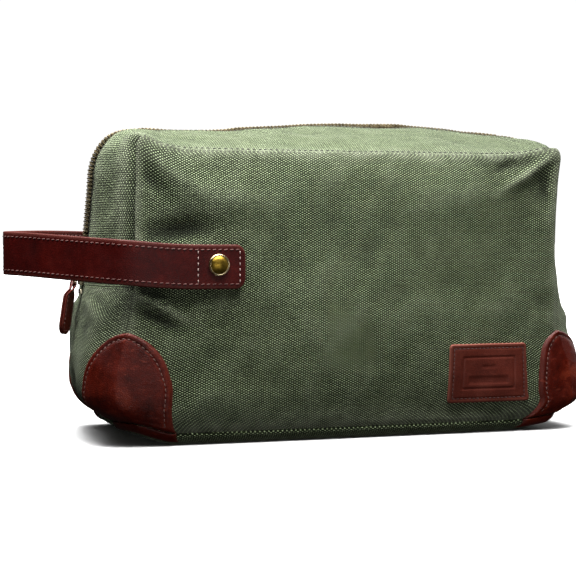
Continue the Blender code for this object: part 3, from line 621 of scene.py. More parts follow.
def canvas_material(name, tint=1.0):
    m = Nodes(name)
    h, yarn, cell, uv, par = weave_fields(m, 1.36, 0.70, 0.07)
    pos = m.place()
    big = m.noise(pos, 22.0, 4.0, 0.6)
    mid = m.noise(pos, 120.0, 4.0, 0.6)
    tone = m.math("ADD", m.math("MULTIPLY", m.math("SUBTRACT", yarn, 0.5), 0.55),
                  m.math("MULTIPLY", m.math("SUBTRACT", cell, 0.5), 0.34))
    pale = m.math("ADD", m.math("MULTIPLY", par, 0.76), 0.24)          # weft floats catch the light, warp sits lower
    hh = m.math("ADD", m.math("MULTIPLY", h, pale), m.math("MULTIPLY", m.math("MULTIPLY", tone, h), 0.75))
    k = tint
    # yarn height painted into colour: painted shade near black in the gaps, painted highlight on the yarn tops
    col = m.ramp(hh, [(0.05, (0.0025 * k, 0.0055 * k, 0.0008 * k)), (0.26, (0.023 * k, 0.041 * k, 0.009 * k)),
                      (0.50, (0.185 * k, 0.280 * k, 0.080 * k)), (0.80, (0.96 * k, 1.16 * k, 0.68 * k))])
    col = m.mix(m.range(big, 0.30, 0.70, 0.0, 0.16), col, (0.13 * k, 0.14 * k, 0.065 * k), "MIX")
    shade = m.range(mid, 0.3, 0.7, 0.86, 1.14)
    cb = m.node("ShaderNodeCombineColor")
    for i in range(3):
        m.put(cb.inputs[i], shade)
    col = m.mix(1.0, col, cb.outputs[0], "MULTIPLY")
    # real wear at seams and edges, together with painted highlight on the ridges and painted light along the walls'
    # bottom, mixed towards a pale tone
    wear_and_painted_light = m.math("MULTIPLY", m.attr("wear_and_painted_light"), m.range(mid, 0.30, 0.65, 0.25, 1.0))
    col = m.mix(m.math("MULTIPLY", wear_and_painted_light, 0.55), col, (0.46 * k, 0.49 * k, 0.36 * k), "MIX")
    # painted shade: hollows, creases, the seam groove and the lower left end mixed towards near black
    col = m.mix(m.math("MULTIPLY", m.attr("painted_fold_shade"), 0.82), col, (0.012 * k, 0.016 * k, 0.008 * k), "MIX")
    fuzz = m.noise(pos, 2600.0, 3.0, 0.7)
    b1 = m.bump(fuzz, 0.25, 0.00025)
    b2 = m.bump(hh, 1.0, 0.00060, b1)
    m.set(Base_Color=col, Roughness=m.range(h, 0.0, 1.0, 0.96, 0.80), Normal=b2)
    m.bsdf.inputs["Sheen Weight"].default_value = 0.10
    m.bsdf.inputs["Sheen Roughness"].default_value = 0.45
    m.bsdf.inputs["Sheen Tint"].default_value = (0.86, 0.92, 0.72, 1)
    m.bsdf.inputs["Specular IOR Level"].default_value = 0.25
    return m.mat


def leather_material(name, dark, mid_c, light, rough=(0.36, 0.56), grain=1.0, edge_col=None, scratch=0.4, spec=0.5):
    m = Nodes(name)
    pos = m.place()
    warp = m.noise(pos, 60.0, 3.0, 0.6)
    cloud = m.noise(pos, 46.0, 5.0, 0.62, 0.6)
    fleck = m.noise(pos, 420.0, 4.0, 0.65)
    v1 = m.voronoi(pos, 900.0, "DISTANCE_TO_EDGE")
    v2 = m.voronoi(pos, 2100.0, "F1")
    col = m.ramp(m.math("ADD", m.math("MULTIPLY", cloud, 0.8), m.math("MULTIPLY", fleck, 0.2)),
                 [(0.30, dark), (0.52, mid_c), (0.74, light)])
    pores = m.range(v1, 0.0, 0.16, 0.62, 1.0)
    cb = m.node("ShaderNodeCombineColor")
    for i in range(3):
        m.put(cb.inputs[i], pores)
    col = m.mix(0.75, col, cb.outputs[0], "MULTIPLY")
    edge = m.attr("edge")
    if edge_col is not None:
        col = m.mix(m.range(edge, 0.05, 0.95, 0.0, 0.9), col, edge_col, "MIX")
    # fine scuffs running every way
    stretch = m.node("ShaderNodeMapping")
    stretch.inputs["Scale"].default_value = (1.0, 5.0, 3.0)
    stretch.inputs["Rotation"].default_value = (0.3, 0.9, 0.5)
    m.put(stretch.inputs[0], pos)
    scuff = m.noise(stretch.outputs[0], 130.0, 5.0, 0.7)
    sc = m.range(scuff, 0.58, 0.72, 0.0, scratch)
    col = m.mix(sc, col, tuple(min(1.0, c * 1.35 + 0.012) for c in light), "MIX")
    b0 = m.bump(cloud, 0.20, 0.0012)
    b1 = m.bump(m.math("MINIMUM", v1, 0.22), 0.55 * grain, 0.0004, b0)
    b2 = m.bump(v2, 0.25 * grain, 0.00015, b1)
    m.set(Base_Color=col, Normal=b2,
          Roughness=m.math("ADD", m.range(warp, 0.3, 0.7, rough[0], rough[1]), m.math("MULTIPLY", sc, 0.25)))
    m.bsdf.inputs["Specular IOR Level"].default_value = spec
    return m.mat


def metal_material(name, base, dark, rough=(0.28, 0.5), metallic=1.0):
    m = Nodes(name)
    pos = m.place()
    n1 = m.noise(pos, 160.0, 5.0, 0.65)
    n2 = m.noise(pos, 900.0, 4.0, 0.7)
    f = m.math("ADD", m.math("MULTIPLY", n1, 0.6), m.math("MULTIPLY", n2, 0.4))
    col = m.ramp(f, [(0.34, dark), (0.58, base), (0.8, tuple(min(1, c * 1.35) for c in base))])
    b = m.bump(n2, 0.18, 0.0001, m.bump(n1, 0.2, 0.0004))
    m.set(Base_Color=col, Roughness=m.range(n1, 0.3, 0.7, rough[0], rough[1]), Normal=b)
    m.bsdf.inputs["Metallic"].default_value = metallic
    return m.mat


def thread_material(name, col):
    m = Nodes(name)
    pos = m.place()
    n = m.noise(pos, 1800.0, 3.0, 0.7)
    c = m.mix(m.range(n, 0.3, 0.7, 0.0, 1.0), tuple(x * 0.62 for x in col), col)
    w = m.node("ShaderNodeTexWave", wave_type="BANDS", bands_direction="DIAGONAL")
    m.put(w.inputs["Vector"], pos)
    w.inputs["Scale"].default_value = 900.0
    m.set(Base_Color=c, Normal=m.bump(w.outputs["Fac"], 0.35, 0.0001))
    m.bsdf.inputs["Roughness"].default_value = 0.75
    m.bsdf.inputs["Sheen Weight"].default_value = 0.2
    return m.mat


def tape_material(name):
    m = Nodes(name)
    uv = m.node("ShaderNodeUVMap", uv_map="metric").outputs[0]
    sep = m.node("ShaderNodeSeparateXYZ")
    m.put(sep.inputs[0], uv)
    a = m.math("SINE", m.math("MULTIPLY", m.math("ADD", sep.outputs[0], m.math("MULTIPLY", sep.outputs[1], 1.0)), 2 * PI / 0.8))
    h = m.range(a, -1, 1, 0, 1)
    n = m.noise(m.place(), 700.0, 3.0)
    c = m.mix(h, (0.018, 0.02, 0.012), (0.065, 0.07, 0.045))
    c = m.mix(m.range(n, 0.35, 0.65, 0.0, 0.5), c, (0.035, 0.038, 0.024))
    m.set(Base_Color=c, Normal=m.bump(h, 0.6, 0.0002))
    m.bsdf.inputs["Roughness"].default_value = 0.85
    return m.mat


def lining_material(name):
    m = Nodes(name)
    h, yarn, cell, uv, par = weave_fields(m, 0.55, 0.55, 0.06)
    hh = m.math("ADD", h, m.math("MULTIPLY", m.math("SUBTRACT", yarn, 0.5), 0.5))
    col = m.ramp(hh, [(0.0, (0.12, 0.095, 0.06)), (0.5, (0.30, 0.25, 0.17)), (1.0, (0.44, 0.38, 0.28))])
    mot = m.noise(m.place(), 40.0, 4.0)
    col = m.mix(m.range(mot, 0.3, 0.7, 0.0, 0.3), col, (0.22, 0.18, 0.12))
    m.set(Base_Color=col, Normal=m.bump(hh, 0.5, 0.0002), Roughness=m.range(h, 0, 1, 0.95, 0.8))
    m.bsdf.inputs["Sheen Weight"].default_value = 0.15
    return m.mat


CANVAS = canvas_material("waxed_canvas", 0.63)
PATCH = leather_material("corner_leather", (0.022, 0.0014, 0.0006), (0.095, 0.0080, 0.0032), (0.25, 0.036, 0.015),
                         rough=(0.28, 0.46), edge_col=(0.085, 0.014, 0.009), spec=0.24, grain=1.6)
STRAP = leather_material("strap_leather", (0.022, 0.0008, 0.0006), (0.052, 0.0022, 0.0014), (0.105, 0.0080, 0.0050),
                         rough=(0.38, 0.54), edge_col=(0.085, 0.020, 0.015), grain=0.8, scratch=0.2, spec=0.16)
LABEL = leather_material("label_leather", (0.074, 0.0105, 0.0055), (0.120, 0.0205, 0.0115), (0.175, 0.038, 0.023),
                         rough=(0.42, 0.6), edge_col=(0.22, 0.070, 0.048), grain=0.7, scratch=0.25, spec=0.22)
BRASS = metal_material("antique_brass", (0.36, 0.235, 0.035), (0.15, 0.088, 0.010), rough=(0.34, 0.55))
RIM = metal_material("worn_brass_rim", (0.66, 0.55, 0.33), (0.42, 0.32, 0.16), rough=(0.22, 0.38))
TEETH = metal_material("zip_brass", (0.27, 0.22, 0.13), (0.05, 0.040, 0.022), rough=(0.30, 0.5), metallic=0.55)
STEEL = metal_material("slider_brass", (0.62, 0.56, 0.42), (0.22, 0.18, 0.10), rough=(0.2, 0.4))
THREAD = thread_material("pink_thread", (0.20, 0.085, 0.066))
THREAD_BOX = thread_material("pale_thread", (0.50, 0.34, 0.30))
THREAD_ROSE = thread_material("rose_thread", (0.150, 0.046, 0.036))
THREAD_DK = thread_material("brown_thread", (0.10, 0.030, 0.022))
THREAD_OL = thread_material("olive_thread", (0.040, 0.044, 0.026))
TAPE = tape_material("zip_tape_cloth")
LINING = lining_material("lining_cloth")

PARTS = []


def done(ob, body=None, reps=(), blend=None):
    if blend:
        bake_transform(ob)
    else:
        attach(ob, body)
    if reps:
        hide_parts(*reps)
    PARTS.append(ob)
    return ob


def spaced(a, b, n, edge=2.4):
    """Places from a to b, closer together near both ends."""
    u = np.linspace(-1, 1, n)
    w = np.sign(u) * (1 - (1 - np.abs(u)) ** edge)
    w = 0.55 * u + 0.45 * w
    return a + (b - a) * (w + 1) / 2


# ============================================================ canvas walls
THICK = 1.2
for hand, word, node in ((-1, "front_canvas", "front_panel"), (1, "back_canvas", "back_panel")):
    xs = spaced(-1, 1, 151)
    zs = spaced(Z_BASE, Z_TOP, 91)
    X, Z = np.meshgrid(xs, zs, indexing="ij")
    outer, inner = wall_point(hand, X, Z, 0.0), wall_point(hand, X, Z, THICK)
    cx = cxt(Z)
    dist = np.minimum((1 - np.abs(X)) * cx, np.minimum(Z_TOP - Z, (Z - Z_BASE) * 1.4))
    wear_and_painted_light = np.exp(-dist / 3.0)
    uv = np.stack([X * 139 + 200, Z], -1)
    # the darkening attribute is painted shade in the hollows; the pale attribute holds real wear along the seams,
    # painted highlight on the ridges and a band of painted light along the bottom
    painted_fold_shade, ridge = hollows(warp(outer), 6)
    ob = shell(word, outer, inner, uv, [CANVAS], {"wear_and_painted_light": np.clip(wear_and_painted_light + 0.6 * ridge + 0.4 * np.exp(-((Z - Z_BASE) / 13.0) ** 2), 0, 1), "painted_fold_shade": painted_fold_shade})
    done(ob, "bag", [node])

for side, word in ((-1, "left"), (1, "right")):
    ys = spaced(-1, 1, 75)
    zs = spaced(Z_BASE, Z_ZIP, 53)
    Y, Z = np.meshgrid(ys, zs, indexing="ij")
    outer, inner = end_point(side, Y, Z, 0.0), end_point(side, Y, Z, THICK)
    dist = np.minimum((1 - np.abs(Y)) * 60, np.minimum(Z_ZIP - Z, Z - Z_BASE))
    uv = np.stack([Y * 72 + 90, Z], -1)
    painted_fold_shade, ridge = hollows(warp(outer), 5)
    # the darkening attribute is painted shade in the hollows and, on the left end, painted shade growing towards the
    # bottom; the pale attribute holds real wear at the edges and painted highlight on the ridges
    ob = shell(word + "_end_canvas", outer, inner, uv, [CANVAS], {"wear_and_painted_light": np.clip(np.exp(-dist / 3.0) * 0.8 + 0.6 * ridge, 0, 1), "painted_fold_shade": np.clip(painted_fold_shade + (0.42 * ease((104 - Z) / 30.0) if side < 0 else 0), 0, 1)})
    done(ob, "bag", [word + "_end_panel"])


# base: rim rolled under to a flat sole
def base_rim(z):
    return 11.5 * (1 - np.sqrt(np.maximum(0.0, 1 - (1 - z / Z_BASE) ** 2)))


def outline(z, d, nx=90, ny=44):
    """Closed horizontal outline, corner to corner on each side."""
    sx = spaced(-1, 1, nx)[:-1]
    sy = spaced(-1, 1, ny)[:-1]
    cx, cy = float(CX0(z)) - d, float(CYT(z)) - d
    parts = [np.stack([sx * cx, -front_depth(sx * cx, z, d)], -1),
             np.stack([end_out(1, sy * cy, z, d), sy * cy], -1),
             np.stack([-sx * cx, front_depth(-sx * cx, z, d)], -1),
             np.stack([-end_out(-1, -sy * cy, z, d), -sy * cy], -1)]
    return np.concatenate(parts)


rows = [Z_BASE, 6.6, 6.0, 5.0, 3.8, 2.6, 1.5, 0.7, 0.2, 0.0]
rings_ = []
for z in rows:
    roll = float(pillow(Z_BASE - z, 0.9, 1.0))
    o = outline(Z_BASE, float(base_rim(z)) + roll)
    rings_.append(np.column_stack([o, np.full(len(o), z)]))
for k in (0.86, 0.6, 0.3):
    o = outline(Z_BASE, 11.5) * k
    rings_.append(np.column_stack([o, np.zeros(len(o))]))
inner_rings = []
for z in (1.25, 1.3, 2.6, 5.0, Z_BASE):
    o = outline(Z_BASE, float(base_rim(min(z, Z_BASE))) + 1.3 + (10 if z == 1.25 else 0))
    inner_rings.append(np.column_stack([o, np.full(len(o), z)]))
order = rings_[::-1] + inner_rings[::-1]
allr = np.stack(order)                                    # rings, around, xyz
nr, nc = allr.shape[:2]
G = allr.transpose(1, 0, 2)
faces = grid_faces(nc, nr, closed_u=True).tolist()
faces.append([i * nr for i in range(nc)])
faces.append([i * nr + nr - 1 for i in range(nc)])
flat = G.reshape(-1, 3)
uvb = np.column_stack([flat[:, 0] + 200, flat[:, 1] + 100 - 0.8 * (7 - flat[:, 2]) * np.sign(flat[:, 1])])
ob = make("base_canvas", flat, faces, [CANVAS], uvb, {"wear_and_painted_light": np.clip(1 - flat[:, 2] / 5.0, 0, 1) * 0.25}, sharp=50)
done(ob, "bag", ["bottom_panel"])


# ================================================================ zip gusset
TOP_LIFT = curve([(-120, -0.4), (-100, -1.1), (-82, -0.5), (-70, 0.35), (10, 0.5), (28, 0.1), (50, 0.2), (62, -0.6), (90, -0.9), (108, 0.1), (130, 0.4)])
FLAP = {-1: "front_flap", 1: "rear_flap"}
HALF = {-1: "front", 1: "rear"}
WORD = {-1: "left", 1: "right"}


def bend_of(side, hand):
    """Bag, the gusset's flap and two points by the upper corner, given as the blend of done(), which only bakes the
    piece in place.
    """
    return ("bag", FLAP[hand], (side * 0.124, 0, 0.17), (side * 0.062, 0, 0.17))


def t_samples(n1, n2, n3):
    return np.concatenate([np.linspace(0, 1, n1)[:-1], np.linspace(1, 2, n2)[:-1], np.linspace(2, 3, n3)])


for side in (-1, 1):
    for hand in (-1, 1):
        tag = "%s_%s" % (WORD[side], HALF[hand])
        ts = t_samples(34, 34, 60)
        # the zip edge is folded over: the first columns roll down to the tape
        v0 = vy(3.3)
        vs = np.concatenate([[v0 + 0.002], v0 + np.array([0.004, 0.010, 0.018, 0.03, 0.045]),
                             np.linspace(0.12, 0.90, 26), [0.93, 0.955, 0.972, 0.985, 0.995, 1.0]])
        T, V = np.meshgrid(ts, vs, indexing="ij")
        distf = (1 - V) * TOP_Y
        roll = np.concatenate([[1.0, 0.55, 0.22, 0.06, 0.0, 0.0], np.zeros(32)])[None, :] + 0 * T
        d = pillow(distf) + roll * 0.9
        outer = gusset_point(side, hand, T, V, d)
        inner = gusset_point(side, hand, T, V, d + THICK)
        S = along_mm(side, T)
        uv = np.stack([S + 60, V * 62 + 10], -1)
        wear_and_painted_light = np.exp(-distf / 2.6) + 0.8 * np.exp(-((V - 0.065) / 0.012) ** 2)
        across = np.concatenate([np.zeros((len(ts), 1)), np.cumsum(np.linalg.norm(np.diff(outer, axis=1), axis=2), axis=1)], 1)
        uv = np.stack([S + 60, 100 - (across[:, -1:] - across)], -1)
        painted_fold_shade, ridge = hollows(warp(outer), 4)
        # painted shade in the groove beside the front seam of the left gusset, where the seam wear is held back
        seam_groove_shade = 0.0
        if side < 0 and hand < 0:
            seam_groove_shade = (0.62 * np.exp(-((V - 0.925) / 0.06) ** 2) + 0.75 * np.exp(-((V - 0.985) / 0.016) ** 2)) * ease((1.72 - T) / 0.25)
        wear_and_painted_light = (np.where(V < 0.12, 0.5, 1.0) * wear_and_painted_light + 0.6 * ridge) * (1 - 0.9 * np.clip(seam_groove_shade, 0, 1))
        # the darkening attribute is painted shade in the hollows, beside the seam and low on the left end; the pale
        # attribute holds real wear at the seam and zip edge and painted highlight on the ridges
        ob = shell("zip_gusset_" + tag, outer, inner, uv, [CANVAS], {"wear_and_painted_light": np.clip(wear_and_painted_light, 0, 1), "painted_fold_shade": np.clip(painted_fold_shade * (V > 0.09) + seam_groove_shade + (0.42 * ease((104 - outer[..., 2]) / 30.0) if side < 0 else 0), 0, 1)})
        reps = ["gusset_%s_%s" % (WORD[side], HALF[hand])]
        if side < 0:
            reps.append("gusset_top_" + HALF[hand])
        done(ob, None, reps, blend=bend_of(side, hand))

        # tape under the folded edge
        vs2 = vy(np.array([0.25, 0.8, 1.6, 2.2, 2.7, 3.1, 3.6, 5.0, 8.0, 12.0]))
        T2, V2 = np.meshgrid(t_samples(24, 26, 46), vs2, indexing="ij")
        sink = np.array([-0.2, -0.2, 0.1, 0.8, 1.9, 2.4, 2.5, 2.4, 2.3, 2.3])[None, :] + 0 * T2
        if side < 0 < hand:              # the hollow rear strip stays clear of the slider's inner plate
            z2 = gusset_point(side, hand, T2, V2, sink)[..., 2]
            sink = sink - 1.15 * ease((z2 - 100) / 10.0) * ease((162 - z2) / 10.0)
        o2 = gusset_point(side, hand, T2, V2, sink)
        i2 = gusset_point(side, hand, T2, V2, sink + 0.6)
        uv2 = np.stack([along_mm(side, T2), V2 * 62], -1)
        ob = shell("tape_" + tag, o2, i2, uv2, [TAPE])
        reps = ["zip_tape_%s_%s" % (WORD[side], HALF[hand])]
        if side < 0:
            reps.append("zip_tape_top_" + HALF[hand])
        done(ob, None, reps, blend=bend_of(side, hand))

        # teeth
        total = float(along_mm(side, 3.0))
        pitch = 2.3
        last = pitch / 4 if (side < 0) == (hand < 0) else 3 * pitch / 4
        cs = np.arange(total - last, 1.2, -pitch)[::-1]
        tt = t_of_mm(side, cs)
        P = gusset_point(side, 1, tt, 0.0, 0.0, relief=False)
        Q = gusset_point(side, 1, t_of_mm(side, cs + 0.4), 0.0, 0.0, relief=False) \
            - gusset_point(side, 1, t_of_mm(side, np.maximum(cs - 0.4, 0)), 0.0, 0.0, relief=False)
        Q /= np.linalg.norm(Q, axis=1, keepdims=True)
        Nn = np.stack([-Q[:, 2], 0 * Q[:, 0], Q[:, 0]], -1)          # perpendicular in the xz plane
        outward = np.stack([np.sign(P[:, 0]) * np.clip((2 - tt), 0, 1), 0 * tt, np.clip(tt - 1, 0, 1) + 0.01], -1)
        Nn *= np.sign((Nn * outward).sum(1))[:, None]
        # section of a tooth in (along, normal) at several distances from the centre line
        sec = np.array([(-0.62, -1.25), (0.62, -1.25), (0.62, 0.55), (0.34, 0.95), (-0.34, 0.95), (-0.62, 0.55)])
        ys = [(-0.42, 0.55, 0.55), (-0.20, 0.86, 0.9), (0.9, 0.86, 1.0), (1.25, 0.62, 0.82), (2.2, 0.72, 0.92), (2.75, 0.55, 0.60)]
        V_, F_ = [], []
        for i in range(len(cs)):
            base = i * len(ys) * 6
            for (y, ka, kn) in ys:
                for a, n in sec:
                    nn = n * kn if n > 0 else n * (0.6 + 0.4 * kn)
                    up_ = 1.5 - 1.7 * float(ease((tt[i] - 1.55) / 0.4)) if tt[i] < 2 else float(TOP_LIFT(P[i][0] * side))
                    p = P[i] + Q[i] * (a * ka) + Nn[i] * (nn * 1.15 + up_) + np.array([0, hand * y * 1.05, 0])
                    V_.append(p)
            for r in range(len(ys) - 1):
                for c in range(6):
                    c2 = (c + 1) % 6
                    F_.append((base + r * 6 + c, base + r * 6 + c2, base + (r + 1) * 6 + c2, base + (r + 1) * 6 + c))
            F_.append(tuple(base + c for c in reversed(range(6))))
            F_.append(tuple(base + (len(ys) - 1) * 6 + c for c in range(6)))
        ob = make("teeth_" + tag, np.array(V_), F_, [TEETH], sharp=28)
        reps = ["zip_chain_%s_%s" % (WORD[side], HALF[hand])]
        if side < 0:
            reps.append("zip_chain_top_" + HALF[hand])
        done(ob, None, reps, blend=bend_of(side, hand))

        # stitch rows: along the zip edge, and along the top seam
        def line(t, v, dd=0.0):
            p = gusset_point(side, hand, t, v + 0 * t, dd + 0 * t)
            q1 = gusset_point(side, hand, t, v + 0.01 + 0 * t, dd + 0 * t) - p
            q2 = gusset_point(side, hand, np.clip(t + 0.004, 0, 3), v + 0 * t, dd + 0 * t) \
                - gusset_point(side, hand, np.clip(t - 0.004, 0, 3), v + 0 * t, dd + 0 * t)
            n = np.cross(q1, q2)
            n /= np.maximum(np.linalg.norm(n, axis=1, keepdims=True), 1e-9)
            out = np.stack([np.sign(p[:, 0]) * np.clip(2 - t, 0, 1), 0 * t, np.clip(t - 1, 0, 1) + 0.02], -1)
            n *= np.where((n * out).sum(1) < 0, -1.0, 1.0)[:, None]
            return p, n
        tz = np.linspace(0.02, 2.995, 400)
        p, n = line(tz, vy(5.0))
        done(stitches("zip_stitches_" + tag, p, n, 3.1, 2.3, 0.26, THREAD_OL), None, blend=bend_of(side, hand))
        tz = np.linspace(1.80, 2.995, 260)
        p, n = line(tz, 1 - 1.9 / TOP_Y, 0.35)
        done(stitches("top_stitches_" + tag, p, n, 3.3, 2.3, 0.30, THREAD_OL, lift=0.16), None, blend=bend_of(side, hand))


# ============================================================ corner leather
EDGE = curve([(7, 20.5), (15, 25.0), (30, 28.2), (43, 24.6), (52, 19.0), (58, 12.8), (61.6, 7.2), (63.4, 3.2), (64.2, 0.0)])


EDGE_END = curve([(7, 25.5), (12, 25.5), (18, 24.5), (25, 22.5), (32, 20.8), (43, 17.0), (52, 12.8), (58, 9.2), (61.6, 6.0), (63.4, 3.0), (64.2, 0.0)])


def wrap_point(side, hand, w, z, d):
    """Point on the bag round a lower corner: w mm from the corner seam, negative towards the front or
    back wall, positive towards the end wall; d is the inset (negative stands proud)."""
    zz = np.maximum(z, Z_BASE)
    extra = np.where(z < Z_BASE, base_rim(np.clip(z, 0, Z_BASE)), 0.0)
    dd = d + extra
    cx, cy = CX0(zz) - dd, CYT(zz) - dd
    xf = cx + np.minimum(w, 0)
    pf = np.stack([xf, front_depth(xf, zz, dd), z + 0 * xf], -1)
    yr = cy - np.maximum(w, 0)
    pe = np.stack([end_out(side, hand * yr, zz, dd), yr, z + 0 * yr], -1)
    p = np.where((w <= 0)[..., None], pf, pe)
    # relief of the wall carries over onto the leather
    r = wall_relief(hand, side * xf, zz) * np.clip(-w / 6.0, 0, 1) * (z >= Z_BASE)
    p[..., 1] = p[..., 1] + r
    # the corner seam is softened into a round edge under the leather
    soft = 1.5 * np.exp(-(w / 7.0) ** 2) * np.clip((z - 2) / 10.0, 0, 1)
    p[..., 0] -= soft * 0.7
    p[..., 1] -= soft * 0.7
    return p * np.array([side, hand, 1.0])


def dist_to(poly, u, z):
    """Distance from points to a polyline."""
    d = np.full(u.shape, 1e9)
    for (a, b) in zip(poly[:-1], poly[1:]):
        ab = b - a
        L = max(float(ab @ ab), 1e-12)
        t = np.clip(((u - a[0]) * ab[0] + (z - a[1]) * ab[1]) / L, 0, 1)
        d = np.minimum(d, np.hypot(u - a[0] - t * ab[0], z - a[1] - t * ab[1]))
    return d


T_LEA = 1.35
for side in (-1, 1):
    for hand in (-1, 1):
        tag = "%s_%s" % (WORD[side], HALF[hand])
        # arch outline in the flattened plane: wf towards the front or back wall, we towards the end wall
        zc = np.concatenate([np.linspace(7.2, 50, 40), 50 + 14.1 * np.sin(np.linspace(0, PI / 2, 40))[1:]])
        bulge_ = np.sin(PI * np.clip((zc - 7) / 57.1, 0, 1))
        kf, ke = (1.0, 0.80) if side < 0 else (0.80, 0.95)
        if hand > 0:
            ke = ke * 0.72
        if side > 0:
            zc = 7.2 + (zc - 7.2) * 0.94
        wf = EDGE(np.minimum(7.2 + (zc - 7.2) / (0.94 if side > 0 else 1.0), 64.2)) * kf + (3.0 * bulge_ if side < 0 else -0.8 * bulge_)
        we = EDGE(np.minimum(7.2 + (zc - 7.2) / (0.94 if side > 0 else 1.0), 64.2)) * ke
        if side < 0:
            we = EDGE_END(zc) * (1.0 if hand < 0 else 0.72)
        ztip = zc[-1]
        wf, we = np.maximum(wf, 0.02), np.maximum(we, 0.02)
        k = spaced(-1, 1, 75, 3.0)
        K, Zg = np.meshgrid(k, zc, indexing="ij")
        Wg = (wf[None, :] + we[None, :]) * (K + 1) / 2 - wf[None, :]
        arch = np.concatenate([np.column_stack([-wf, zc]), np.column_stack([we, zc])[::-1]])
        full = np.concatenate([arch, arch[:1]])
        dist = dist_to(full, Wg, Zg)
        lift = T_LEA * np.sqrt(np.clip(1 - (1 - np.clip(dist / 0.9, 0, 1)) ** 2, 0, 1))
        # sewn line presses the leather down
        lift = lift - 0.35 * np.exp(-((dist - 3.0) / 0.7) ** 2) * (Zg > 9.5)
        base_d = -0.35
        outer = wrap_point(side, hand, Wg, Zg, base_d - lift)
        inner = wrap_point(side, hand, Wg, Zg, 0.6 + 0 * lift)
        edge = np.exp(-(dist / 0.5) ** 2) + 0.10 * np.exp(-((dist - 1.4) / 1.2) ** 2)
        uv = np.stack([Wg, Zg], -1)
        ob = shell("corner_leather_" + tag, outer, inner, uv, [PATCH], {"edge": np.clip(edge, 0, 1)}, sharp=60)
        done(ob, "bag", ["corner_patch_" + tag])
        # stitch line 3 mm inside the arch
        ends_ = []
        for sg_, w_ in ((-1, wf), (1, we)):
            o = np.column_stack([sg_ * w_, zc])
            tang = np.gradient(o, axis=0)
            tang /= np.maximum(np.linalg.norm(tang, axis=1, keepdims=True), 1e-9)
            nor = np.column_stack([tang[:, 1], -tang[:, 0]]) * (-sg_)
            q_ = o + nor * 3.0
            good = (q_[:, 1] > 8.5) & (q_[:, 1] < ztip - 3.1) & (dist_to(full, q_[:, 0], q_[:, 1]) > 2.75)
            ends_.append(q_[good])
        ins = np.concatenate([ends_[0], ends_[1][::-1]])
        w_, z_ = ins[:, 0], ins[:, 1]
        p = wrap_point(side, hand, w_, z_, base_d - T_LEA + 0.42 + 0 * w_)
        q = wrap_point(side, hand, w_, z_, base_d - T_LEA - 1.6 + 0 * w_)
        n = q - p
        n /= np.linalg.norm(n, axis=1, keepdims=True)
        done(stitches("corner_stitches_" + tag, p, n, 3.0, 2.2, 0.33, THREAD, slant=0.10), "bag")
        # lower piece, on the rolled-under rim
        wl = np.linspace(-1, 1, 61)
        zl = spaced(1.5, 6.9, 15, 2.0)
        K2, Z2 = np.meshgrid(wl, zl, indexing="ij")
        W2 = ((wf[0] + we[0]) * (K2 + 1) / 2 - wf[0]) * (1 - 0.012 * (6.9 - Z2))
        dist2 = np.minimum(np.minimum((1 - np.abs(K2)) * 20, (6.9 - Z2) * 1.3), (Z2 - 1.5) * 1.5)
        lift2 = 1.1 * np.sqrt(np.clip(1 - (1 - np.clip(dist2 / 0.8, 0, 1)) ** 2, 0, 1))
        outer = wrap_point(side, hand, W2, Z2, -0.3 - lift2)
        inner = wrap_point(side, hand, W2, Z2, 0.5 + 0 * lift2)
        outer[..., 2] = np.maximum(outer[..., 2], 0.25)
        ob = shell("corner_sole_" + tag, outer, inner, np.stack([W2, Z2], -1), [PATCH],
                   {"edge": np.clip(np.exp(-(dist2 / 0.5) ** 2), 0, 1)}, sharp=60)
        done(ob, "bag", ["corner_base_" + tag])


# ==================================================================== label
def wall_at(hand, X, Z, proud):
    """World point on the front or back canvas at x, z in mm, standing proud."""
    Y = front_depth(X, Z, 0.0) + wall_relief(hand, X, Z) + proud
    return np.stack([X, hand * Y, Z + 0 * X], -1)


lx0, lx1, lz0, lz1 = 58.3, 110.3, 18.8, 54.0
u = spaced(0, 1, 121, 3.0)
w = spaced(0, 1, 91, 3.0)
U, W = np.meshgrid(u, w, indexing="ij")
LX, LZ = lx0 + (lx1 - lx0) * U, lz0 + (lz1 - lz0) * W
# corners rounded a little
cxm, czm = (lx0 + lx1) / 2, (lz0 + lz1) / 2
hx, hz, rr = (lx1 - lx0) / 2, (lz1 - lz0) / 2, 2.2
qx, qz = np.abs(LX - cxm) - (hx - rr), np.abs(LZ - czm) - (hz - rr)
outside = np.hypot(np.maximum(qx, 0), np.maximum(qz, 0)) - rr
pull_in = np.clip(outside, 0, None)
both = (qx > 0) & (qz > 0) & (outside > 0)
sc = np.where(both, rr / np.maximum(outside + rr, 1e-6), 1.0)
LX = np.where(both, cxm + np.sign(LX - cxm) * (hx - rr + np.maximum(qx, 0) * sc), LX)
LZ = np.where(both, czm + np.sign(LZ - czm) * (hz - rr + np.maximum(qz, 0) * sc), LZ)
inside = -np.where(both, 0.0, np.where((qx > 0) & (qz > 0), outside, np.maximum(np.abs(LX - cxm) - hx, np.abs(LZ - czm) - hz)))
dist = np.clip(inside, 0, None)
lift = 1.25 * np.sqrt(np.clip(1 - (1 - np.clip(dist / 0.8, 0, 1)) ** 2, 0, 1))
lift = lift - 0.32 * np.exp(-((dist - 2.7) / 0.6) ** 2)


def sunk(x, z, x0, z0, hx_, hz_, soft=0.35, r=0.8):
    q1, q2 = np.abs(x - x0) - (hx_ - r), np.abs(z - z0) - (hz_ - r)
    sd = np.hypot(np.maximum(q1, 0), np.maximum(q2, 0)) + np.minimum(np.maximum(q1, q2), 0) - r
    return 1 / (1 + np.exp(sd / soft * 2.2))


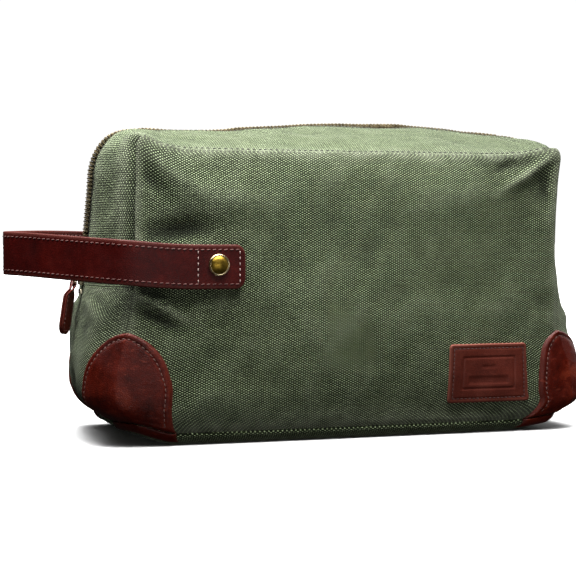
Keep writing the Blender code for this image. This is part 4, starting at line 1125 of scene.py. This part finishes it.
# plain pressed ornament: a frame round a blank bar
press = sunk(LX, LZ, cxm, czm + 0.2, 17.5, 9.8) - sunk(LX, LZ, cxm, czm + 0.2, 16.5, 8.8)
press = press + 0.85 * sunk(LX, LZ, cxm, czm - 4.2, 13.0, 2.1) + 0.7 * sunk(LX, LZ, cxm, czm + 3.9, 4.6, 0.75)
lift = lift - 0.34 * np.clip(press, 0, 1)
outer = wall_at(-1, LX, LZ, 0.25 + lift)
inner = wall_at(-1, LX, LZ, -0.5 + 0 * lift)
edge = np.exp(-(dist / 0.5) ** 2) + 0.3 * np.exp(-((dist - 1.3) / 0.8) ** 2)
ob = shell("label_leather_patch", outer, inner, np.stack([LX, LZ], -1), [LABEL], {"edge": np.clip(edge, 0, 1)}, sharp=60)
done(ob, "bag", ["label_patch"])
b = 2.7
loop = np.array([(lx0 + b, lz0 + b), (lx1 - b, lz0 + b), (lx1 - b, lz1 - b), (lx0 + b, lz1 - b), (lx0 + b, lz0 + b)])
for i, (p0, p1) in enumerate(zip(loop[:-1], loop[1:])):
    L = np.linspace(0, 1, 40)[:, None]
    q = p0 + (p1 - p0) * L
    pts = wall_at(-1, q[:, 0], q[:, 1], 0.25 + 1.25 - 0.25)
    done(stitches("label_stitches_%d" % (i + 1), pts, np.tile([0, -1.0, 0], (40, 1)), 2.5, 1.9, 0.26, THREAD_DK, lift=0.05),
         "bag")


# =================================================================== handle
STRAP_Y = 67.3
REAR_RISE = 5.0
LEG = [(-68.0, -STRAP_Y), (-80, -STRAP_Y), (-90, -STRAP_Y), (-101.4, -STRAP_Y), (-112, -67.2), (-125, -66.5), (-136, -62.6),
       (-147, -54.3), (-158, -43.4), (-169, -31.0), (-178, -20.0), (-184.6, -11.6), (-189.2, -5.6), (-191.2, 0.0)]


def spline(points, n):
    """Even samples of a centripetal Catmull-Rom curve."""
    P = np.array(points, float)
    P = np.vstack([2 * P[0] - P[1], P, 2 * P[-1] - P[-2]])
    out = []
    for i in range(1, len(P) - 2):
        p0, p1, p2, p3 = P[i - 1:i + 3]
        k = np.cumsum([0] + [np.sqrt(np.linalg.norm(b_ - a_)) for a_, b_ in ((p0, p1), (p1, p2), (p2, p3))])
        t = np.linspace(k[1], k[2], 40)[:, None]
        a1 = (k[1] - t) / (k[1] - k[0]) * p0 + (t - k[0]) / (k[1] - k[0]) * p1
        a2 = (k[2] - t) / (k[2] - k[1]) * p1 + (t - k[1]) / (k[2] - k[1]) * p2
        a3 = (k[3] - t) / (k[3] - k[2]) * p2 + (t - k[2]) / (k[3] - k[2]) * p3
        b1 = (k[2] - t) / (k[2] - k[0]) * a1 + (t - k[0]) / (k[2] - k[0]) * a2
        b2 = (k[3] - t) / (k[3] - k[1]) * a2 + (t - k[1]) / (k[3] - k[1]) * a3
        out.append((k[2] - t) / (k[2] - k[1]) * b1 + (t - k[1]) / (k[2] - k[1]) * b2)
    C = np.vstack(out)
    s = np.concatenate([[0], np.cumsum(np.linalg.norm(np.diff(C, axis=0), axis=1))])
    q = np.linspace(0, s[-1], n)
    return np.stack([np.interp(q, s, C[:, j]) for j in range(C.shape[1])], -1), q


pts = LEG + [(x, -y) for x, y in LEG[-2::-1]]
HC, HS = spline(pts, 421)
HL = HS[-1]
leg0 = 33.4                                    # length of each sewn end, up to where the loop comes free
kk = (HS - leg0) / (HL - 2 * leg0)
RISE = curve([(0.0, 0.1), (0.05, 0.7), (0.128, 2.3), (0.27, 4.6), (0.5, 7.5), (0.73, 8.3), (0.87, 8.0), (0.95, 6.2),
              (1.0, REAR_RISE + 0.1)])
zr_ = np.where(kk < 0, 0.0, np.where(kk > 1, REAR_RISE, RISE(np.clip(kk, 0, 1))))
ker = np.hanning(41)
ker /= ker.sum()
HZ = 100.5 + np.convolve(np.pad(zr_, 20, mode="edge"), ker, mode="valid")
tan = np.gradient(HC, axis=0)
tan /= np.linalg.norm(tan, axis=1, keepdims=True)
HN = np.stack([tan[:, 1], -tan[:, 0]], -1)
HN *= np.where((HN * (HC - np.array([-100.0, 0]))).sum(1) < 0, -1.0, 1.0)[:, None]
# continuous outward side
for i in range(1, len(HN)):
    if HN[i] @ HN[i - 1] < 0:
        HN[i] = -HN[i]


def strap_point(s, w, off):
    """Point on the handle: s along, w up from its middle, off outwards from its middle plane."""
    s, w, off = np.broadcast_arrays(np.asarray(s, float), np.asarray(w, float), np.asarray(off, float))
    c = np.stack([np.interp(s, HS, HC[:, 0]), np.interp(s, HS, HC[:, 1])], -1)
    n = np.stack([np.interp(s, HS, HN[:, 0]), np.interp(s, HS, HN[:, 1])], -1)
    n /= np.maximum(np.linalg.norm(n, axis=-1, keepdims=True), 1e-9)
    z = np.interp(s, HS, HZ)
    p = c + n * off[..., None]
    return np.stack([p[..., 0], p[..., 1], z + w], -1)


HWID = 12.5


def half_width(s):
    """The strap's two ends are cut with rounded corners."""
    r = 6.0
    e = np.minimum(s, HL - s)
    k = np.clip(r - e, 0, r)
    return HWID - (r - np.sqrt(np.maximum(r * r - k * k, 0)))


def ply(name, off_in, off_out, shrink, reps, body_blend):
    s = np.concatenate([6.0 * (1 - np.cos(np.linspace(0, PI / 2, 14))), np.linspace(6, HL - 6, 330)[1:-1],
                        HL - 6.0 * (1 - np.cos(np.linspace(PI / 2, 0, 14)))])
    # closed cross-section with rounded edges
    hw = 1.0
    prof = []
    T = (off_out - off_in)
    r = T * 0.48
    ang = np.linspace(-PI / 2, PI / 2, 6)
    top = [("e", 1, a) for a in ang]
    bot = [("e", -1, a) for a in ang[::-1]]
    face = np.linspace(-1, 1, 15)[1:-1]
    V, E = [], []
    for si in s:
        h = float(half_width(si)) - shrink
        row, ed = [], []
        mid_o = (off_out + off_in) / 2
        for q in face:                                 # outer face, low to high
            row.append((q * (h - r), off_out + 0.10 * (1 - q * q)))
            ed.append(max(0.0, 1 - (1 - abs(q)) * (h) / 1.2))
        for a in ang[::-1]:                            # high edge
            row.append(((h - r) + r * math.cos(a), mid_o + (T / 2) * math.sin(a)))
            ed.append(1.0)
        for q in face[::-1]:
            row.append((q * (h - r), off_in))
            ed.append(max(0.0, 1 - (1 - abs(q)) * (h) / 1.2))
        for a in ang:
            row.append((-(h - r) - r * math.cos(a), mid_o + (T / 2) * math.sin(a)))
            ed.append(1.0)
        row = np.array(row)
        V.append(strap_point(si, row[:, 0], row[:, 1]))
        E.append(ed)
    V = np.array(V)
    E = np.array(E)
    n_s, n_c = V.shape[:2]
    G = V.transpose(1, 0, 2)
    faces = grid_faces(n_c, n_s, closed_u=True).tolist()
    faces.append([i * n_s for i in range(n_c)])
    faces.append([i * n_s + n_s - 1 for i in range(n_c)])
    sg = np.tile(s, n_c)
    uv = np.column_stack([sg, np.repeat(np.arange(n_c), n_s) * 1.0])
    e = E.T.ravel()
    e = np.maximum(e, np.exp(-np.minimum(sg, HL - sg) / 0.5))
    ob = make(name, G.reshape(-1, 3), faces, [STRAP], uv, {"edge": e * 0.85}, sharp=60)
    return ob


BEND_H = ("bag", "handle", (-0.0965, 0, 0.103), (-0.110, 0, 0.103))
ob = ply("handle_outer_leather", 0.08, 1.6, 0.0, None, None)
done(ob, None, ["strap_loop", "strap_anchor_front", "strap_anchor_rear"], blend=BEND_H)
ob = ply("handle_inner_leather", -1.55, -0.08, 0.12, None, None)
done(ob, None, ["strap_backing"], blend=BEND_H)

for nm, wv in (("upper", HWID - 2.9), ("lower", -(HWID - 2.9))):
    s = np.linspace(3.4, HL - 3.4, 600)
    for face_, off_ in (("outer", 1.6), ("inner", -1.55)):
        sg = 1 if off_ > 0 else -1
        p = strap_point(s, wv, off_ + sg * (0.0 if sg < 0 else 0.03))
        q = strap_point(s, wv, off_ + sg * 1.0)
        n = (q - p)
        n /= np.linalg.norm(n, axis=1, keepdims=True)
        if sg < 0:
            # the backing shows its own row only on the free loop
            m_ = (s > leg0 + 4) & (s < HL - leg0 - 4)
            p, n = p[m_], n[m_]
        done(stitches("handle_stitches_%s_%s" % (nm, face_), p, n, 3.35, 2.5, 0.30, THREAD_ROSE, lift=0.0, slant=0.14),
             None, blend=BEND_H)
for hand, half in ((-1, "front"), (1, "rear")):
    for nm, sx in (("box", 27.4), ("end", 3.2)):
        s0 = sx if hand < 0 else HL - sx
        wv = np.linspace(-(HWID - 3.6), HWID - 3.6, 60)
        p = strap_point(s0 + 0 * wv, wv, 1.66)
        n = strap_point(s0 + 0 * wv, wv, 2.66) - p
        done(stitches("handle_%s_stitches_%s" % (nm, half), p, n, 3.1, 1.9, 0.30, THREAD_BOX, lift=0.05), "bag")

# rivets
for hand, half in ((-1, "front"), (1, "rear")):
    face = STRAP_Y + 1.7
    c = (-83.5, hand * face, 101.6 + (REAR_RISE if hand > 0 else 0.0))
    R = 6.1
    prof = [(0.01, 3.05)]
    for a in np.linspace(4, 58, 12):
        prof.append((4.75 * math.sin(math.radians(a)) / math.sin(math.radians(58)),
                     3.05 - 1.55 * (1 - math.cos(math.radians(a))) / (1 - math.cos(math.radians(58)))))
    prof += [(4.95, 1.30), (5.10, 1.26), (5.30, 1.42), (5.60, 1.52), (5.88, 1.38), (R, 1.0), (R, 0.45), (5.9, 0.12), (5.5, 0.0),
             (2.0, 0.0), (1.6, -0.2), (1.6, -7.0), (0.01, -7.0)]
    ob = lathe("rivet_cap_" + half, prof, c, hand, [BRASS, RIM])
    me = ob.data
    cen = np.array([p_.center for p_ in me.polygons]) / MM
    rad = np.hypot(cen[:, 0] - c[0], cen[:, 2] - c[2])
    me.polygons.foreach_set("material_index", (rad > 4.9).astype(np.int32))
    done(ob, "bag", ["rivet_" + half])


# ========================================================= slider and pull
def refined(node, name, mat, body, width=0.00022, seg=2):
    """The CAD piece with its edges rounded over."""
    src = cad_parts[node]
    me = src.data.copy()
    me.name = name
    ob = bpy.data.objects.new(name, me)
    bpy.context.scene.collection.objects.link(ob)
    ob.matrix_world = src.matrix_world.copy()
    bm = bmesh.new()
    bm.from_mesh(me)
    bmesh.ops.remove_doubles(bm, verts=bm.verts, dist=1e-6)
    bmesh.ops.dissolve_limit(bm, angle_limit=math.radians(1.5), verts=bm.verts, edges=bm.edges)
    bm.to_mesh(me)
    bm.free()
    md = ob.modifiers.new("round", "BEVEL")
    md.width = width
    md.segments = seg
    md.limit_method = "ANGLE"
    md.angle_limit = math.radians(25)
    md.harden_normals = False
    me.materials.clear()
    me.materials.append(mat)
    me.shade_smooth()
    me.set_sharp_from_angle(angle=math.radians(50))
    return done(ob, body, [node])


refined("slider_body", "zip_slider", STEEL, "slider")
refined("pull_tab", "zip_pull_tab", STEEL, "pull_tab", 0.00025)

# leather pull: two plies round the tab's lower bar
PA = np.array([-152.088, 0, 90.533])
PD = np.array([-math.sin(math.radians(8.3)), 0, -math.cos(math.radians(8.3))])
PO = np.array([-math.cos(math.radians(8.3)), 0, math.sin(math.radians(8.3))])


def pull_at(s, y, n):
    s, y, n = np.broadcast_arrays(np.asarray(s, float), np.asarray(y, float), np.asarray(n, float))
    tw = -math.radians(33) * ease((s - 0.5) / 8.0)
    y2, n2 = y * np.cos(tw) - n * np.sin(tw), y * np.sin(tw) + n * np.cos(tw)
    return PA + PD * s[..., None] + np.array([0, 1.0, 0]) * y2[..., None] + PO * (n2 + 1.5 * ease((s - 0.5) / 8.0))[..., None]


def pull_half(s):
    w = 6.3
    L = 30.7
    a = np.interp(s, [1.6, 2.6, 4.2, 7.0, 12.0, L - w], [3.1, 4.1, 5.2, 5.8, 6.1, w])
    k = np.clip(s - (L - w), 0, w)
    return np.where(s > L - w, np.sqrt(np.maximum(w * w - k * k, 0)), a)


# the strip: down the outer side, round the bar, down the inner side, as one bent sheet of thickness 1.25
ss = np.concatenate([30.7 - 6.3 * (1 - np.cos(np.linspace(0, PI / 2, 12))), np.linspace(24.4, 4.6, 26)[1:]])
neck_a = np.linspace(0.0, PI, 13)[1:-1]
path_mid, path_n, path_w = [], [], []
for s_ in ss:
    path_mid.append((s_, 0.76))
    path_n.append((0.0, 1.0))
    path_w.append(max(float(pull_half(s_)), 0.15))
Rm = 1.38
for th in np.linspace(0.15, PI - 0.15, 15):
    path_mid.append((-Rm * math.sin(th), Rm * math.cos(th)))
    path_n.append((-math.sin(th), math.cos(th)))
    path_w.append(2.35)
for s_ in ss[::-1]:
    path_mid.append((s_, -0.76))
    path_n.append((0.0, -1.0))
    path_w.append(max(float(pull_half(s_)), 0.15))
pm, pn, pw = np.array(path_mid), np.array(path_n), np.array(path_w)
# soften the neck into the plies
for _ in range(6):
    pm[1:-1] = 0.25 * pm[:-2] + 0.5 * pm[1:-1] + 0.25 * pm[2:]
    pw[13:-13] = 0.25 * pw[12:-14] + 0.5 * pw[13:-13] + 0.25 * pw[14:-12]
tg = np.gradient(pm, axis=0)
tg /= np.linalg.norm(tg, axis=1, keepdims=True)
nn_ = np.stack([-tg[:, 1], tg[:, 0]], -1)
nn_ *= np.where((nn_ * pn).sum(1) < 0, -1.0, 1.0)[:, None]
yy = spaced(-1, 1, 19, 3.0)
Sg, Yg = np.meshgrid(np.arange(len(pm)), yy, indexing="ij")
wid = pw[Sg]
near = np.minimum((1 - np.abs(Yg)) * wid, np.minimum(Sg, len(pm) - 1 - Sg) * 0.6)
rnd = np.sqrt(np.clip(1 - (1 - np.clip(near / 0.5, 0, 1)) ** 2, 0, 1))
outw = 0.62 * rnd
inw = 0.62 * rnd
ptsO = pm[Sg] + nn_[Sg] * outw[..., None]
ptsI = pm[Sg] - nn_[Sg] * inw[..., None]
outer = pull_at(ptsO[..., 0], Yg * wid, ptsO[..., 1])
inner = pull_at(ptsI[..., 0], Yg * wid, ptsI[..., 1])
ob = shell("pull_leather", outer, inner, np.stack([Sg * 1.0, Yg * wid], -1), [PATCH],
           {"edge": np.clip(np.exp(-(near / 0.45) ** 2), 0, 1)}, sharp=70, soft=False)
done(ob, "leather_pull", ["leather_pull"])
sl = np.linspace(7.5, 28.4, 60)
arc = [(s_, -(float(pull_half(s_)) - 1.7)) for s_ in sl if pull_half(s_) > 2.2]
arc = arc + [(s_, -y_) for s_, y_ in arc[::-1]]
arc = np.array(arc)
for nm, sg in (("outer", 1), ("inner", -1)):
    p = pull_at(arc[:, 0], arc[:, 1], sg * 1.34)
    n = pull_at(arc[:, 0], arc[:, 1], sg * 2.34) - p
    done(stitches("pull_stitches_" + nm, p, n, 2.5, 1.8, 0.27, THREAD, lift=0.02), "leather_pull")

# zip stops and washers: rounded CAD pieces
for w_ in ("left", "right"):
    refined("zip_stop_" + w_, "stop_" + w_, STEEL, "bag", 0.0003)
for h_ in ("front", "rear"):
    refined("rivet_washer_" + h_, "washer_" + h_, STEEL, "bag", 0.0002)

# =================================================================== lining
for hand, half in ((-1, "front"), (1, "rear")):
    X, Z = np.meshgrid(np.linspace(-0.992, 0.992, 80), np.linspace(9.0, 160.0, 50), indexing="ij")

    def lin(d):
        cx = cxt(Z) - d
        xx = X * cx
        r = 0.8 * B_MID(xx + 30, Z) * np.clip((1 - np.abs(X)) * 6, 0, 1)
        return np.stack([xx, hand * (front_depth(xx, Z, d) + np.minimum(r, 0) + np.minimum(wall_relief(hand, xx, Z), 0)), Z], -1)
    ob = shell("lining_cloth_" + half, lin(3.5), lin(4.1), np.stack([X * 130, Z], -1), [LINING])
    done(ob, "bag", ["lining_" + half])
for side, word in ((-1, "left"), (1, "right")):
    Y, Z = np.meshgrid(np.linspace(-0.985, 0.985, 46), np.linspace(9.0, 84.0, 30), indexing="ij")

    def lin2(d):
        yy_ = Y * (CYT(Z) - d)
        return np.stack([side * (end_out(side, yy_, Z, d) - 0.8 * np.abs(G_MID(yy_, Z)) * np.clip((1 - np.abs(Y)) * 5, 0, 1)), yy_, Z], -1)
    ob = shell("lining_cloth_" + word, lin2(3.5), lin2(4.1), np.stack([Y * 60, Z], -1), [LINING])
    done(ob, "bag", ["lining_" + word])
o = outline(Z_BASE, 4.4, 60, 30)
ks = np.array([1.0, 0.97, 0.85, 0.6, 0.3, 0.02])
topb = np.stack([np.column_stack([o * k_, np.full(len(o), 4.4) + 0.35 * B_FINE(o[:, 0] * k_, o[:, 1] * k_) * (k_ < 0.99)]) for k_ in ks], 1)
botb = topb.copy()
botb[..., 2] = 3.8
allb = np.concatenate([topb[:, ::-1], botb], 1)
nc_, nr_ = allb.shape[:2]
faces = grid_faces(nc_, nr_, closed_u=True).tolist()
faces.append([i * nr_ for i in range(nc_)])
faces.append([i * nr_ + nr_ - 1 for i in range(nc_)])
fl = allb.reshape(-1, 3)
ob = make("lining_cloth_base", fl, faces, [LINING], fl[:, :2])
done(ob, "bag", ["lining_base"])


# ============================================================ studio, camera
def studio():
    m = Nodes("floor_paint")
    n = m.noise(m.place(), 30.0, 2.0)
    m.set(Base_Color=m.mix(m.range(n, 0.3, 0.7, 0, 1), (0.885, 0.885, 0.885), (0.90, 0.90, 0.90)))
    m.bsdf.inputs["Roughness"].default_value = 0.55
    m.bsdf.inputs["Specular IOR Level"].default_value = 0.2
    me = bpy.data.meshes.new("studio_floor")
    s = 40.0
    me.from_pydata([(-s, -s, 0), (s, -s, 0), (s, s, 0), (-s, s, 0)], [], [(0, 1, 2, 3)])
    me.materials.append(m.mat)
    fl_ = bpy.data.objects.new("studio_floor", me)
    bpy.context.scene.collection.objects.link(fl_)
    fl_.visible_diffuse = False
    fl_.visible_glossy = False

    w = bpy.data.worlds.new("studio")
    bpy.context.scene.world = w
    w.use_nodes = True
    t = w.node_tree
    t.nodes.clear()
    out = t.nodes.new("ShaderNodeOutputWorld")
    bg = t.nodes.new("ShaderNodeBackground")
    white = t.nodes.new("ShaderNodeBackground")
    white.inputs["Color"].default_value = (1, 1, 1, 1)
    white.inputs["Strength"].default_value = 1.05
    mix = t.nodes.new("ShaderNodeMixShader")
    lp = t.nodes.new("ShaderNodeLightPath")
    tc = t.nodes.new("ShaderNodeTexCoord")
    sep = t.nodes.new("ShaderNodeSeparateXYZ")
    t.links.new(tc.outputs["Generated"], sep.inputs[0])

    def mth(op, a, b_=None):
        n_ = t.nodes.new("ShaderNodeMath")
        n_.operation = op
        for i, v in enumerate((a, b_)):
            if v is None:
                continue
            if hasattr(v, "links"):
                t.links.new(v, n_.inputs[i])
            else:
                n_.inputs[i].default_value = v
        return n_.outputs[0]
    zup = mth("MAXIMUM", sep.outputs[2], 0.0)
    lobe = mth("MULTIPLY", mth("POWER", zup, 13.0), 34.0)
    back_ = mth("MAXIMUM", sep.outputs[1], 0.0)
    side_ = mth("MULTIPLY", mth("MULTIPLY", mth("POWER", mth("ABSOLUTE", sep.outputs[0]), 2.0), mth("POWER", back_, 2.0)), 0.1)
    tot = mth("ADD", mth("ADD", lobe, side_), 0.012)
    t.links.new(tot, bg.inputs["Strength"])
    t.links.new(lp.outputs["Is Camera Ray"], mix.inputs[0])
    t.links.new(bg.outputs[0], mix.inputs[1])
    t.links.new(white.outputs[0], mix.inputs[2])
    t.links.new(mix.outputs[0], out.inputs[0])

    def area(name, loc, target, size, energy, size_y=None):
        L = bpy.data.lights.new(name, "AREA")
        L.shape = "RECTANGLE"
        L.size = size
        L.size_y = size_y or size
        L.energy = energy
        o_ = bpy.data.objects.new(name, L)
        o_.location = loc
        o_.visible_camera = False
        d_ = Vector(target) - Vector(loc)
        o_.rotation_euler = d_.to_track_quat("-Z", "Y").to_euler()
        bpy.context.scene.collection.objects.link(o_)
        return o_
    area("top_soft", (-0.11, -0.115, 0.38), (-0.06, 0.0, 0.1), 0.42, 1.95, 0.14)
    area("left_rim", (-0.62, 1.05, 0.45), (-0.1, 0, 0.08), 0.5, 0.1, 0.6)
    area("right_rim", (0.85, 0.55, 0.42), (0.12, 0, 0.06), 0.5, 2.2, 0.6)

    area("front_low", (-0.20, -1.15, 0.02), (-0.03, 0, 0.0), 0.8, 3.6, 0.08)

    cam = bpy.data.cameras.new("camera")
    cam.lens = 95.6
    cam.sensor_width = 36.0
    cam.clip_start = 0.02
    co = bpy.data.objects.new("camera", cam)
    th = math.radians(18.6)
    co.location = (-0.0408 - math.sin(th) * 0.87, -0.0625 - math.cos(th) * 0.87, 0.1155)
    co.rotation_euler = (math.radians(90 - 1.8), 0, -th)
    bpy.context.scene.collection.objects.link(co)
    bpy.context.scene.camera = co
    vs_ = bpy.context.scene.view_settings
    vs_.view_transform = "Standard"
    vs_.look = "None"
    vs_.exposure = 0.0
    vs_.gamma = 1.0


studio()

bpy.context.view_layer.update()
